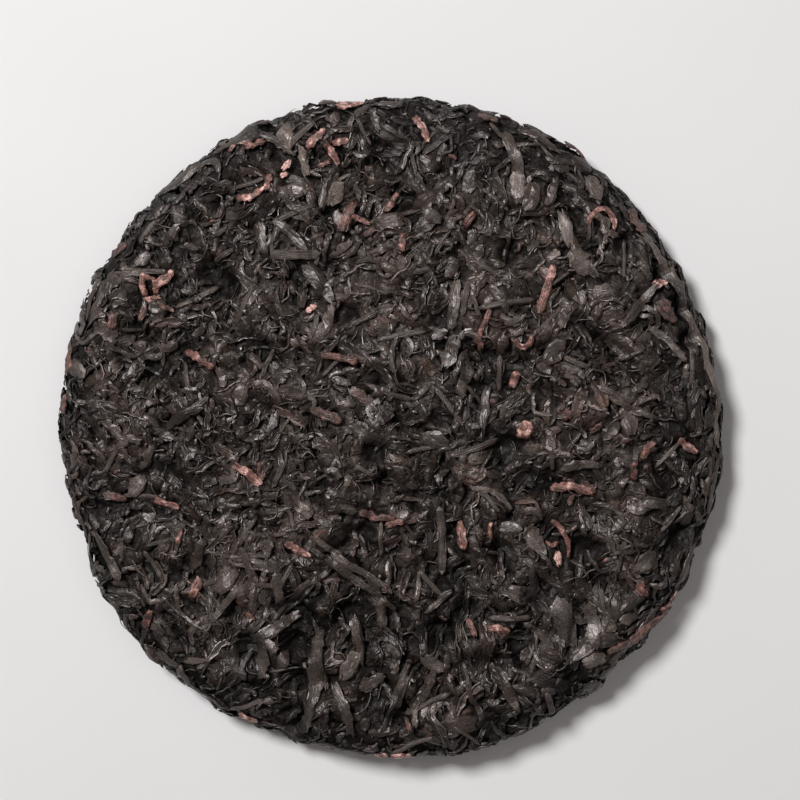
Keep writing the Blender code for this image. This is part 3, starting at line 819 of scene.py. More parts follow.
def thread_form(draw):
    """A fine shred, the edge or a vein of a torn leaf."""
    return {
        "length": draw.uniform(3.0, 8.5) * MM, "width": draw.uniform(0.35, 0.75) * MM,
        "height": draw.uniform(0.3, 0.5) * MM, "rings": 7, "sides": 4,
        "bend": draw.uniform(-2.6, 2.6), "sway": draw.uniform(-0.6, 0.6),
        "flute": 0.15, "ridges": 2, "wind": draw.uniform(-3.0, 3.0), "rough": 0.25,
        "arch": draw.uniform(0.0, 1.6), "ends": (0.15, 0.4),
    }


def stalk_form(draw):
    """A straight piece of stalk, broken off at both ends."""
    return {
        "length": draw.uniform(9.0, 18.0) * MM, "width": draw.uniform(1.2, 1.9) * MM,
        "height": draw.uniform(1.1, 1.5) * MM, "rings": 6, "sides": 8,
        "bend": draw.uniform(-0.25, 0.25), "sway": draw.uniform(-0.06, 0.06),
        "flute": 0.14, "ridges": 3, "wind": 0.9, "rough": 0.12, "arch": 0.1,
        "ends": (0.04, 0.05),
    }


def tip_form(draw):
    """A small bud, rolled tight and pointed at its tip."""
    return {
        "length": draw.uniform(3.0, 7.0) * MM, "width": draw.uniform(2.8, 4.4) * MM, "thick": 0.26 * MM,
        "rows": 7, "columns": 6, "roll": -draw.uniform(1.2, 2.4), "fold": draw.uniform(0.4, 0.9),
        "folds": draw.uniform(1.5, 3.2), "twist": draw.uniform(-1.6, 1.6), "lean": draw.uniform(-0.4, 0.4),
        "bend": draw.uniform(-1.6, 1.6), "sway": draw.uniform(-0.5, 0.5),
        "crumple": draw.uniform(0.05, 0.11) * MM, "arch": draw.uniform(0.0, 0.5) * MM, "squash": 0.90,
        "torn": 0.3 * MM, "tip": 0.15, "uneven": 0.15,
        "ends": (draw.uniform(0.15, 0.4), draw.uniform(0.5, 0.9)),
    }


# Scattering over a flat map


def map_disc(name, reach, back, coarse):
    """A flat disc of one side's map that says how thick the leaves lie and which way they point.

    The lower third of the face is a coarser stretch, where long leaves run up and down; coarse is 1
    for pieces that lie only there, -1 for small ones that are fewer there, and 0 for the others.
    """
    builder = bmesh.new()
    middle = builder.verts.new((0, 0, 0))
    rows = [
        [
            builder.verts.new((radius * math.cos(turn), radius * math.sin(turn), 0))
            for turn in np.linspace(0, math.tau, MAP_SEGMENTS, endpoint=False)
        ]
        for radius in reach * np.arange(1, MAP_RINGS + 1) / MAP_RINGS
    ]
    for index in range(MAP_SEGMENTS):
        builder.faces.new((middle, rows[0][index], rows[0][(index + 1) % MAP_SEGMENTS]))
    for inner, outer in zip(rows, rows[1:]):
        for index in range(MAP_SEGMENTS):
            after = (index + 1) % MAP_SEGMENTS
            builder.faces.new((inner[index], outer[index], outer[after], inner[after]))
    mesh = bpy.data.meshes.new(name)
    builder.to_mesh(mesh)
    builder.free()
    places = vertex_array(mesh)
    away = np.hypot(places[:, 0], places[:, 1])
    rim = smooth_step(away, 0.079, 0.091)
    low = smooth_step(-places[:, 1], 0.026, 0.046) * (1 - smooth_step(away, 0.084, 0.090))
    crowd = np.full(len(places), 0.5 if back else 1.0)
    heading = np.arctan2(places[:, 1], places[:, 0]) + math.pi / 2
    along_rim = np.clip(np.cos(np.arctan2(places[:, 1], places[:, 0]) - math.radians(20)) * 2 - 0.6, 0, 1)
    stray = math.pi * (1 - rim) + (1.35 - 0.85 * along_rim) * rim
    if not back:
        crowd *= 1 - HOLLOW_THINNING * np.clip(hollow_depth(places) / (1.2 * MM), 0, 1)
        crowd *= 1 - NOTED_THINNING * noted_cover(places)
        crowd *= low if coarse > 0 else 1 + COARSE_THINNING * coarse * low
        heading = heading * (1 - low) + low * (math.pi / 2 + 0.35 * np.sin(places[:, 0] / 0.021))
        stray = stray * (1 - low) + low * (0.75 if coarse > 0 else 1.3)
    set_values(mesh, "crowd", crowd)
    set_values(mesh, "heading", heading)
    set_values(mesh, "stray", stray)
    return bpy.data.objects.new(name, mesh)


def new_input(tree, name, kind, default=None):
    """Adds one named input to a node tree and returns its identifier."""
    socket = tree.interface.new_socket(name=name, in_out="INPUT", socket_type=kind)
    if default is not None:
        socket.default_value = default
    return socket.identifier


def feed(links, sockets, values):
    """Sets each socket to its number, or links its value to it."""
    for socket, value in zip(sockets, values):
        if isinstance(value, (int, float)):
            socket.default_value = value
        else:
            links.new(value, socket)


def scatter_tree():
    """The tree that scatters shapes over a map: where, how large, how turned and how high they lie."""
    tree = bpy.data.node_groups.new("scatter_leaves", "GeometryNodeTree")
    ids = {
        "map": new_input(tree, "Map", "NodeSocketGeometry"),
        "shapes": new_input(tree, "Shapes", "NodeSocketCollection"),
        "spacing": new_input(tree, "Spacing", "NodeSocketFloat", 0.003),
        "smallest": new_input(tree, "Smallest", "NodeSocketFloat", 0.8),
        "largest": new_input(tree, "Largest", "NodeSocketFloat", 1.2),
        "tilt": new_input(tree, "Tilt", "NodeSocketFloat", 0.1),
        "lowest": new_input(tree, "Lowest", "NodeSocketFloat", -0.0005),
        "highest": new_input(tree, "Highest", "NodeSocketFloat", 0.0005),
        "seed": new_input(tree, "Seed", "NodeSocketInt", 1),
        "finish": new_input(tree, "Finish", "NodeSocketMaterial"),
    }
    tree.interface.new_socket(name="Leaves", in_out="OUTPUT", socket_type="NodeSocketGeometry")
    nodes, links = tree.nodes, tree.links
    given = nodes.new("NodeGroupInput").outputs
    result = nodes.new("NodeGroupOutput")

    def stored(name):
        node = nodes.new("GeometryNodeInputNamedAttribute")
        node.data_type = "FLOAT"
        node.inputs["Name"].default_value = name
        return node.outputs["Attribute"]

    def draw_number(low, high, offset, kind="FLOAT"):
        node = nodes.new("FunctionNodeRandomValue")
        node.data_type = kind
        feed(links, [socket for socket in node.inputs if socket.enabled], (low, high))
        links.new(combined("ADD", given["Seed"], offset), node.inputs["Seed"])
        return next(socket for socket in node.outputs if socket.enabled)

    def combined(operation, first, second):
        return math_node(nodes, links, operation, first, second)

    points = nodes.new("GeometryNodeDistributePointsOnFaces")
    points.distribute_method = "POISSON"
    links.new(given["Map"], points.inputs["Mesh"])
    links.new(given["Spacing"], points.inputs["Distance Min"])
    packed = combined("DIVIDE", PACKING, combined("MULTIPLY", given["Spacing"], given["Spacing"]))
    links.new(packed, points.inputs["Density Max"])
    links.new(stored("crowd"), points.inputs["Density Factor"])
    links.new(given["Seed"], points.inputs["Seed"])

    shapes = nodes.new("GeometryNodeCollectionInfo")
    shapes.inputs["Separate Children"].default_value = True
    shapes.inputs["Reset Children"].default_value = True
    links.new(given["Shapes"], shapes.inputs["Collection"])

    low_tilt = combined("MULTIPLY", given["Tilt"], -1.0)
    swing = combined("MULTIPLY", draw_number(-1.0, 1.0, 11), stored("stray"))
    flip = combined("MULTIPLY", combined("ROUND", draw_number(0.0, 1.0, 13), 0.0), math.pi)
    turned = combined("ADD", combined("ADD", stored("heading"), swing), flip)
    angles = nodes.new("ShaderNodeCombineXYZ")
    links.new(draw_number(low_tilt, given["Tilt"], 17), angles.inputs["X"])
    links.new(draw_number(low_tilt, given["Tilt"], 19), angles.inputs["Y"])
    links.new(turned, angles.inputs["Z"])
    rotation = nodes.new("FunctionNodeEulerToRotation")
    links.new(angles.outputs[0], rotation.inputs[0])

    placed = nodes.new("GeometryNodeInstanceOnPoints")
    placed.inputs["Pick Instance"].default_value = True
    links.new(points.outputs["Points"], placed.inputs["Points"])
    links.new(shapes.outputs[0], placed.inputs["Instance"])
    links.new(draw_number(0, 1000, 23, "INT"), placed.inputs["Instance Index"])
    links.new(rotation.outputs[0], placed.inputs["Rotation"])
    links.new(draw_number(given["Smallest"], given["Largest"], 29), placed.inputs["Scale"])

    lifted = nodes.new("GeometryNodeTranslateInstances")
    lift = nodes.new("ShaderNodeCombineXYZ")
    links.new(draw_number(given["Lowest"], given["Highest"], 31), lift.inputs["Z"])
    links.new(placed.outputs[0], lifted.inputs["Instances"])
    links.new(lift.outputs[0], lifted.inputs["Translation"])
    lifted.inputs["Local Space"].default_value = False

    tinted = nodes.new("GeometryNodeStoreNamedAttribute")
    tinted.data_type = "FLOAT"
    tinted.domain = "INSTANCE"
    tinted.inputs["Name"].default_value = "tint"
    links.new(lifted.outputs[0], tinted.inputs["Geometry"])
    value = next(socket for socket in tinted.inputs if socket.name == "Value" and socket.enabled)
    links.new(draw_number(0.0, 1.0, 37), value)

    realised = nodes.new("GeometryNodeRealizeInstances")
    links.new(tinted.outputs[0], realised.inputs[0])
    finished = nodes.new("GeometryNodeSetMaterial")
    links.new(realised.outputs[0], finished.inputs["Geometry"])
    links.new(given["Finish"], finished.inputs["Material"])
    links.new(finished.outputs[0], result.inputs[0])
    return tree, ids


def scatter(name, back, shapes, finish, seed, spacing, size, tilt, lift, coarse=0):
    """Scatters one kind of shape over one side and drapes it on the cake, as one plain mesh."""
    tree, ids = scatter_tree()
    disc = map_disc(f"{name}_map", BACK_MAP_REACH if back else FACE_MAP_REACH, back, coarse)
    bpy.context.scene.collection.objects.link(disc)
    scattering = disc.modifiers.new("scatter", "NODES")
    scattering.node_group = tree
    settings = {
        "shapes": shapes, "spacing": spacing, "smallest": size[0], "largest": size[1], "tilt": tilt,
        "lowest": lift[0] * MM, "highest": lift[1] * MM, "seed": seed, "finish": finish,
    }
    for key, value in settings.items():
        scattering[ids[key]] = value
    graph = bpy.context.evaluated_depsgraph_get()
    mesh = bpy.data.meshes.new_from_object(disc.evaluated_get(graph), depsgraph=graph)
    disc.modifiers.clear()
    bpy.data.objects.remove(disc)
    bpy.data.node_groups.remove(tree)
    flat = vertex_array(mesh)
    # rise: the height above the bed less the painted shade, which the finish turns into painted light and
    # shade
    set_values(mesh, "rise", flat[:, 2] / MM - shade(flat, back))
    set_vertices(mesh, SKIN.drape(flat, back))
    for extra in ("crowd", "heading", "stray"):
        if extra in mesh.attributes:
            mesh.attributes.remove(mesh.attributes[extra])
    piece = new_piece(name, mesh)
    hand_over(piece)
    return piece


# Finishes


def node_chain(name):
    """A new material, with its nodes, its links and its shader."""
    material = bpy.data.materials.get(name) or bpy.data.materials.new(name)
    material.use_nodes = True
    nodes, links = material.node_tree.nodes, material.node_tree.links
    nodes.clear()
    out = nodes.new("ShaderNodeOutputMaterial")
    shader = nodes.new("ShaderNodeBsdfPrincipled")
    links.new(shader.outputs[0], out.inputs["Surface"])
    return material, nodes, links, shader


def attribute(nodes, name):
    """The stored number of this name."""
    node = nodes.new("ShaderNodeAttribute")
    node.attribute_name = name
    return node.outputs["Fac"]


def ramp(nodes, links, value, stops):
    """Colours by value, from (place, colour) stops."""
    node = nodes.new("ShaderNodeValToRGB")
    bar = node.color_ramp.elements
    while len(bar) > 1:
        bar.remove(bar[-1])
    bar[0].position, bar[0].color = stops[0][0], (*stops[0][1], 1.0)
    for place, colour in stops[1:]:
        bar.new(place).color = (*colour, 1.0)
    links.new(value, node.inputs[0])
    return node.outputs[0]


def fitted(nodes, links, value, low, high, to_low, to_high):
    """The value moved from one range to another, held at its ends."""
    node = nodes.new("ShaderNodeMapRange")
    links.new(value, node.inputs["Value"])
    for key, number in zip(("From Min", "From Max", "To Min", "To Max"), (low, high, to_low, to_high)):
        node.inputs[key].default_value = number
    return node.outputs["Result"]


def math_node(nodes, links, operation, first, second):
    """Arithmetic on two values."""
    node = nodes.new("ShaderNodeMath")
    node.operation = operation
    feed(links, node.inputs, (first, second))
    return node.outputs[0]


def scaled_colour(nodes, links, colour, factor):
    """A colour made lighter or darker by a factor."""
    node = nodes.new("ShaderNodeVectorMath")
    node.operation = "SCALE"
    links.new(colour, node.inputs[0])
    links.new(factor, node.inputs["Scale"])
    return node.outputs[0]


def creases(nodes, links, size):
    """Sharp crests between hollows of this size, like crumpled leaf, on Object coordinates."""
    place = nodes.new("ShaderNodeTexCoord")
    node = nodes.new("ShaderNodeTexNoise")
    node.noise_type = "RIDGED_MULTIFRACTAL"
    node.inputs["Scale"].default_value = 1.0 / size
    node.inputs["Detail"].default_value = 3.0
    links.new(place.outputs["Object"], node.inputs["Vector"])
    return node.outputs["Fac"]


def grain(nodes, links, size, detail=2.0):
    """Fine random mottling of this size, on Object coordinates."""
    place = nodes.new("ShaderNodeTexCoord")
    node = nodes.new("ShaderNodeTexNoise")
    node.inputs["Scale"].default_value = 1.0 / size
    node.inputs["Detail"].default_value = detail
    links.new(place.outputs["Object"], node.inputs["Vector"])
    return node.outputs["Fac"]


def veins(nodes, links, along, around, detail=3.0):
    """Fine ribs along a leaf, so long and so wide, on the leaf's own UV map."""
    place = nodes.new("ShaderNodeTexCoord")
    stretch = nodes.new("ShaderNodeMapping")
    stretch.inputs["Scale"].default_value = (UV_SPAN / along, UV_SPAN / around, 1.0)
    links.new(place.outputs["UV"], stretch.inputs["Vector"])
    spread = nodes.new("ShaderNodeCombineXYZ")
    links.new(math_node(nodes, links, "MULTIPLY", attribute(nodes, "tint"), 40.0), spread.inputs["Z"])
    shift = nodes.new("ShaderNodeVectorMath")
    links.new(stretch.outputs[0], shift.inputs[0])
    links.new(spread.outputs[0], shift.inputs[1])
    node = nodes.new("ShaderNodeTexNoise")
    node.inputs["Scale"].default_value = 1.0
    node.inputs["Detail"].default_value = detail
    node.inputs["Distortion"].default_value = 0.4
    links.new(shift.outputs[0], node.inputs["Vector"])
    centred = math_node(nodes, links, "SUBTRACT", node.outputs["Fac"], 0.5)
    ridge = math_node(nodes, links, "ABSOLUTE", centred, 0.0)
    return fitted(nodes, links, ridge, 0.0, 0.22, 1.0, 0.0)


def bump(nodes, links, height, distance, strength, below=None):
    """Relief from a height, on top of other relief."""
    node = nodes.new("ShaderNodeBump")
    node.inputs["Distance"].default_value = distance
    node.inputs["Strength"].default_value = strength
    links.new(height, node.inputs["Height"])
    if below is not None:
        links.new(below, node.inputs["Normal"])
    return node.outputs[0]


def leaf_finish(name, colours, lightness=1.0, gloss=0.60):
    """Dry fermented leaf: near black, ribbed lengthwise, mottled with dust, painted lighter where it stands
    up and darker where it lies low as painted shade, with pale dust specks that also serve as painted glints.
    """
    material, nodes, links, shader = node_chain(name)
    tint = attribute(nodes, "tint")
    by_leaf = ramp(nodes, links, tint, (
        (0.0, colours.shade_leaf), (0.35, colours.mid_leaf), (0.80, colours.mid_leaf),
        (0.92, colours.dusty_leaf), (0.955, colours.mid_leaf), (0.985, colours.russet_leaf),
    ))
    depth = attribute(nodes, "rise")
    # Painted shade: what lies low is painted darker and what stands up lighter, from rise
    rise = fitted(nodes, links, depth, -0.9, 1.3, 0.10 * lightness, 1.35 * lightness)
    ribs = veins(nodes, links, 0.0045, 0.0011)
    dust = grain(nodes, links, 0.0009, 4.0)
    crumple = creases(nodes, links, 0.0030)
    drift = grain(nodes, links, 0.0150, 1.0)
    # Painted light and shade: lighter on the crests of the crumples and darker in their creases, with a
    # random mottle of dust and broad drifts
    mottle_and_painted_light = math_node(nodes, links, "MULTIPLY", fitted(nodes, links, crumple, 0.2, 1.4, 0.80, 1.22),
                     fitted(nodes, links, dust, 0.3, 0.72, 0.70, 1.38))
    mottle_and_painted_light = math_node(nodes, links, "MULTIPLY", mottle_and_painted_light, fitted(nodes, links, drift, 0.34, 0.66, 0.50, 1.66))
    # Pale specks of dust, which also stand in for tiny glints as painted highlights
    specks_and_glints = grain(nodes, links, 0.00045, 1.0)
    mottle_and_painted_light = math_node(nodes, links, "MULTIPLY", mottle_and_painted_light, fitted(nodes, links, specks_and_glints, 0.66, 0.78, 1.0, 3.0))
    links.new(scaled_colour(nodes, links, by_leaf, math_node(nodes, links, "MULTIPLY", rise, mottle_and_painted_light)),
              shader.inputs["Base Color"])
    sheen = fitted(nodes, links, depth, -0.9, 0.6, 0.56, 0.40)
    links.new(math_node(nodes, links, "ADD", sheen, fitted(nodes, links, dust, 0.3, 0.7, -0.10, 0.12)),
              shader.inputs["Roughness"])
    shader.inputs["Specular IOR Level"].default_value = gloss
    fine = bump(nodes, links, grain(nodes, links, 0.0006, 3.0), 0.00020, 0.35)
    folded = bump(nodes, links, crumple, 0.00026, 0.8, fine)
    links.new(bump(nodes, links, ribs, 0.00014, 0.45, folded), shader.inputs["Normal"])
    return material


def bud_finish(colours):
    """An unopened bud: coppery red-brown, paler and pinker where the down is thick, finely ribbed."""
    material, nodes, links, shader = node_chain("red_brown_bud")
    ribs = veins(nodes, links, 0.0050, 0.0009)
    mottle = grain(nodes, links, 0.0013, 3.0)
    warmth = math_node(nodes, links, "ADD", attribute(nodes, "red"),
                       fitted(nodes, links, mottle, 0.3, 0.7, -0.34, 0.26))
    colour = ramp(nodes, links, warmth, (
        (0.05, colours.mid_leaf), (0.32, colours.bud_dark), (0.70, colours.bud_red),
        (1.1, colours.bud_bright),
    ))
    # Painted light on the ribs and painted shade between them
    lit = fitted(nodes, links, ribs, 0.0, 1.0, 0.5, 1.45)
    links.new(scaled_colour(nodes, links, colour, lit), shader.inputs["Base Color"])
    shader.inputs["Roughness"].default_value = 0.42
    fine = bump(nodes, links, grain(nodes, links, 0.0006, 3.0), 0.00022, 0.8)
    links.new(bump(nodes, links, ribs, 0.00030, 0.9, fine), shader.inputs["Normal"])
    return material


def stalk_finish(colours):
    """A dry stalk: dark grey-brown, straight fibres, smoother than leaf."""
    material, nodes, links, shader = node_chain("dark_stalk")
    fibres = veins(nodes, links, 0.0120, 0.0007)
    mottle = grain(nodes, links, 0.0025, 3.0)
    pale = tuple(0.6 * a + 0.4 * b for a, b in zip(colours.dusty_leaf, colours.mid_leaf))
    colour = ramp(nodes, links, mottle, ((0.25, colours.mid_leaf), (0.75, pale)))
    # Painted light on the fibres and painted shade between them
    lit = fitted(nodes, links, fibres, 0.0, 1.0, 0.6, 1.5)
    links.new(scaled_colour(nodes, links, colour, lit), shader.inputs["Base Color"])
    shader.inputs["Roughness"].default_value = 0.45
    fine = bump(nodes, links, grain(nodes, links, 0.0006, 3.0), 0.0002, 0.8)
    links.new(bump(nodes, links, fibres, 0.0003, 0.9, fine), shader.inputs["Normal"])
    return material


def floor_finish(colour):
    """A plain pale matt floor, very faintly uneven."""
    material, nodes, links, shader = node_chain("pale_floor")
    mottle = grain(nodes, links, 0.05, 2.0)
    colours = ramp(nodes, links, mottle, ((0.3, tuple(c * 0.985 for c in colour)), (0.7, tuple(colour))))
    links.new(colours, shader.inputs["Base Color"])
    shader.inputs["Roughness"].default_value = 0.85
    return material


# Pieces


class PressedLeaves:
    """The relief of leaves pressed into the skin, one over another, on one side's flat map."""

    def __init__(self, seed, reach, spacing):
        draw = np.random.default_rng(seed)
        rows = int(reach / spacing) + 1
        steps = np.arange(-rows, rows + 1) * spacing
        across, up = np.meshgrid(steps, steps, indexing="ij")
        spots = np.stack([across.ravel(), up.ravel()], axis=1)
        spots += draw.uniform(-0.6, 0.6, spots.shape) * spacing
        self.spots = spots[np.hypot(spots[:, 0], spots[:, 1]) < reach]
        count = len(self.spots)
        away = np.hypot(self.spots[:, 0], self.spots[:, 1])
        stray = np.where(away > 0.086, 1.1, math.pi)
        self.heading = np.arctan2(self.spots[:, 1], self.spots[:, 0]) + math.pi / 2
        self.heading += draw.uniform(-1, 1, count) * stray
        self.half_length = draw.uniform(2.4, 6.2, count) * MM
        self.half_width = draw.uniform(1.1, 2.9, count) * MM
        self.base = draw.uniform(-1.5, 0.35, count) * MM
        self.tilt = draw.uniform(-0.20, 0.20, (count, 2))
        self.curl = draw.uniform(-0.7, 0.45, count) * MM
        self.wrinkle = draw.uniform(0.10, 0.42, count) * MM
        self.ridges = draw.uniform(1.2, 3.4, count)
        self.phase = draw.uniform(0, math.tau, (count, 4))
        self.tint = draw.random(count)

    def __call__(self, points, top, tint, place):
        """Raises top to the highest leaf at each point, and notes that leaf's tint and place on it."""
        for index, spot in enumerate(self.spots):
            reach = self.half_length[index] * 1.4
            near = np.flatnonzero(np.abs(points[:, 0] - spot[0]) < reach)
            near = near[np.abs(points[near, 1] - spot[1]) < reach]
            offset = points[near, :2] - spot
            cosine, sine = math.cos(self.heading[index]), math.sin(self.heading[index])
            along = offset[:, 0] * cosine + offset[:, 1] * sine
            across = offset[:, 1] * cosine - offset[:, 0] * sine
            u, v = along / self.half_length[index], across / self.half_width[index]
            first, second, third, fourth = self.phase[index]
            around = np.arctan2(v, u)
            ragged = 1 + 0.16 * np.sin(3 * around + first) + 0.10 * np.sin(7 * around + second)
            edge = (np.abs(u) ** 2.6 + np.abs(v) ** 2.6) / ragged
            waver = 0.9 * np.sin(2.6 * u + fourth)
            crest = np.abs(np.sin(math.pi * self.ridges[index] * v / 2 + third + waver))
            height = self.base[index] + self.tilt[index, 0] * along + self.tilt[index, 1] * across
            height += self.curl[index] * v * v + self.wrinkle[index] * (1 - 1.6 * crest)
            height += 0.18 * MM * np.sin(5 * u + second)
            height -= np.clip(edge - 0.92, 0, None) * 9 * MM
            higher = height > top[near]
            chosen = near[higher]
            top[chosen] = height[higher]
            tint[chosen] = self.tint[index]
            place[chosen, 0] = along[higher] / UV_SPAN + 0.5
            place[chosen, 1] = across[higher] / UV_SPAN + 0.5


class TEACAKE_OT_core(bpy.types.Operator):
    """Makes the pressed core: a closed skin in the relief of leaves pressed one over another"""

    bl_idname = "teacake.core"
    bl_label = "Pressed core"

    def execute(self, context):
        sizes, colours = context.scene.teacake_sizes, context.scene.teacake_colours
        count = sizes.core_points
        index = np.arange(count)
        height = 1 - 2 * (index + 0.5) / count
        ring, turn = np.sqrt(1 - height**2), index * GOLDEN_ANGLE
        builder = bmesh.new()
        for spot in np.stack([ring * np.cos(turn), ring * np.sin(turn), height], axis=1):
            builder.verts.new(spot)
        bmesh.ops.convex_hull(builder, input=builder.verts[:])
        bmesh.ops.subdivide_edges(builder, edges=builder.edges[:], cuts=1, use_grid_fill=True)
        bmesh.ops.triangulate(builder, faces=builder.faces[:])
        mesh = bpy.data.meshes.new("pressed_core")
        builder.to_mesh(mesh)
        builder.free()
        ball = vertex_array(mesh)
        ball /= np.linalg.norm(ball, axis=1)[:, None]
        turn = np.arctan2(ball[:, 1], ball[:, 0])
        along = np.interp((1 - ball[:, 2]) / 2, SKIN.point_share, SKIN.along)
        bed, painted_shade = np.zeros(len(ball)), np.zeros(len(ball))
        relief = np.full(len(ball), -2.0 * MM)
        tint = np.zeros(len(ball))
        place = np.zeros((len(ball), 2))
        for back, leaves in (
            (False, PressedLeaves(3, FACE_MAP_REACH, sizes.pressed_spacing)),
            (True, PressedLeaves(4, BACK_MAP_REACH + 0.004, sizes.pressed_spacing)),
        ):
            out = SKIN.length - along if back else along
            side = np.flatnonzero(along > FACE_MAP_REACH if back else along <= FACE_MAP_REACH)
            heading = -turn[side] if back else turn[side]
            mapped = np.stack(
                [out[side] * np.cos(heading), out[side] * np.sin(heading), 0 * heading], axis=1
            )
            bed[side] = SKIN.bed(back)(mapped)
            top, kind, spot = relief[side], tint[side], place[side]
            leaves(mapped, top, kind, spot)
            relief[side], tint[side], place[side] = top, kind, spot
            painted_shade[side] = shade(mapped, back)
        fine = Ripple(5)(SKIN.at(along, turn, 0.0) + 0.5, 0.0016) - 0.5
        relief += 0.35 * MM * fine
        places = SKIN.at(along, turn, bed - sizes.core_sink + relief)
        places[:, 2] = pressed_up(places[:, 2])
        set_vertices(mesh, places)
        # rise: the relief less the painted shade, which the finish turns into painted light and shade
        set_values(mesh, "rise", relief / MM - painted_shade)
        set_values(mesh, "tint", tint)
        layer = mesh.uv_layers.new(name="leaf_place")
        corners = np.empty(len(mesh.loops), dtype=np.int32)
        mesh.loops.foreach_get("vertex_index", corners)
        layer.data.foreach_set("uv", place[corners].astype(np.float32).ravel())
        piece = new_piece("pressed_core", mesh)
        mesh.shade_smooth()
        mesh.materials.append(leaf_finish("pressed_leaf", colours, 1.05, 0.14))
        hand_over(piece)
        return {"FINISHED"}


class TEACAKE_OT_leaves(bpy.types.Operator):
    """Scatters the curled leaves, twisted strands and pressed flakes over both sides"""

    bl_idname = "teacake.leaves"
    bl_label = "Leaves"

    def execute(self, context):
        sizes, colours = context.scene.teacake_sizes, context.scene.teacake_colours
        finish = leaf_finish("dark_leaf", colours)
        low_finish = leaf_finish("low_leaf", colours, 0.95, 0.3)
        draw = random.Random(11)
        patches = variants("patch", 12, lambda builder: add_sheet(builder, patch_form(draw), draw))
        flakes = variants("flake", 12, lambda builder: add_sheet(builder, flake_form(draw), draw))
        curls = variants("curl", 14, lambda builder: add_sheet(builder, curl_form(draw), draw))
        strands = variants("strand", 12, lambda builder: add_sheet(builder, strand_form(draw), draw))
        longs = variants("long", 10, lambda builder: add_sheet(builder, long_form(draw), draw))
        for name, back, shapes, seed, spacing, size, tilt, lift, coarse in (
            ("patches_face", False, patches, 5, sizes.patch_spacing, (0.6, 1.1), 0.10, (-1.0, 0.2), 0),
            ("flakes_face", False, flakes, 12, sizes.flake_spacing, (0.7, 1.2), 0.25, (-1.2, -0.1), 0),
            ("curls_face", False, curls, 1, sizes.curl_spacing, (0.55, 1.1), 0.16, (-1.0, 0.2), -1),
            ("small_curls_face", False, curls, 2, sizes.curl_spacing, (0.4, 0.75), 0.22, (-0.6, 0.5), -1),
            ("strands_face", False, strands, 3, sizes.strand_spacing, (0.55, 1.1), 0.06, (-0.7, 0.4), 0),
            ("long_leaves_face", False, longs, 9, sizes.long_spacing, (0.7, 1.1), 0.10, (-0.9, 0.6), 1),
            ("patches_back", True, patches, 25, sizes.patch_spacing * 1.3, (0.7, 1.2), 0.05, (-1.0, -0.1), 0),
            ("curls_back", True, curls, 21, sizes.curl_spacing * 1.3, (0.6, 1.1), 0.08, (-1.0, -0.1), 0),
            ("strands_back", True, strands, 23, sizes.strand_spacing * 1.4, (0.6, 1.1), 0.04, (-0.8, 0.0), 0),
        ):
            kind = low_finish if shapes in (flakes, patches) else finish
            scatter(name, back, shapes, kind, seed, spacing, size, tilt, lift, coarse)
        for home in (patches, flakes, curls, strands, longs):
            clear_variants(home)
        return {"FINISHED"}


class TEACAKE_OT_threads(bpy.types.Operator):
    """Scatters fine shreds, the torn edges and veins of leaves"""

    bl_idname = "teacake.threads"
    bl_label = "Shreds"

    def execute(self, context):
        sizes, colours = context.scene.teacake_sizes, context.scene.teacake_colours
        finish = leaf_finish("leaf_shred", colours, 1.25)
        draw = random.Random(13)
        threads = variants("thread", 12, lambda builder: add_rolled(builder, thread_form(draw), draw), True)
        scatter("shreds_face", False, threads, finish, 8, sizes.thread_spacing,
                (0.7, 1.3), 0.15, (-0.2, 1.0))
        clear_variants(threads)
        return {"FINISHED"}


class TEACAKE_OT_crumbs(bpy.types.Operator):
    """Scatters crumbs of leaf between the larger pieces"""

    bl_idname = "teacake.crumbs"
    bl_label = "Crumbs"

    def execute(self, context):
        sizes, colours = context.scene.teacake_sizes, context.scene.teacake_colours
        finish = leaf_finish("leaf_crumb", colours, 1.3)
        draw = random.Random(17)
        crumbs = variants("crumb", 8, lambda builder: add_crumb(builder, 0.0014, draw))
        scatter("crumbs_face", False, crumbs, finish, 7, sizes.crumb_spacing,
                (0.4, 1.2), 0.5, (-0.3, 0.8))
        scatter("crumbs_back", True, crumbs, finish, 27, sizes.crumb_spacing * 1.8,
                (0.5, 1.4), 0.4, (-0.4, 0.2))
        clear_variants(crumbs)
        return {"FINISHED"}


class TEACAKE_OT_stalks(bpy.types.Operator):
    """Lays the long stalks and leaves that stand out, and scatters more stalks"""

    bl_idname = "teacake.stalks"
    bl_label = "Stalks"

    def execute(self, context):
        sizes, colours = context.scene.teacake_sizes, context.scene.teacake_colours
        finish = stalk_finish(colours)
        draw = random.Random(23)
        stalks = variants("stalk", 6, lambda builder: add_rolled(builder, stalk_form(draw), draw), True)
        scatter("stalks_face", False, stalks, finish, 4, sizes.stalk_spacing,
                (0.6, 1.1), 0.05, (-0.6, 0.3))
        scatter("stalks_back", True, stalks, finish, 24, sizes.stalk_spacing * 1.3,
                (0.6, 1.1), 0.03, (-0.7, -0.1))
        clear_variants(stalks)
        lay_by_hand("noted_sticks", STICKS, finish, 29, add_stick)
        long_finish = leaf_finish("long_leaf", colours, 0.85)
        lay_by_hand("noted_long_leaves", LONG_LEAVES, long_finish, 30, add_long_leaf)
        lay_by_hand("rim_leaves", RIM_LEAVES, long_finish, 32, add_rim_leaf)
        return {"FINISHED"}


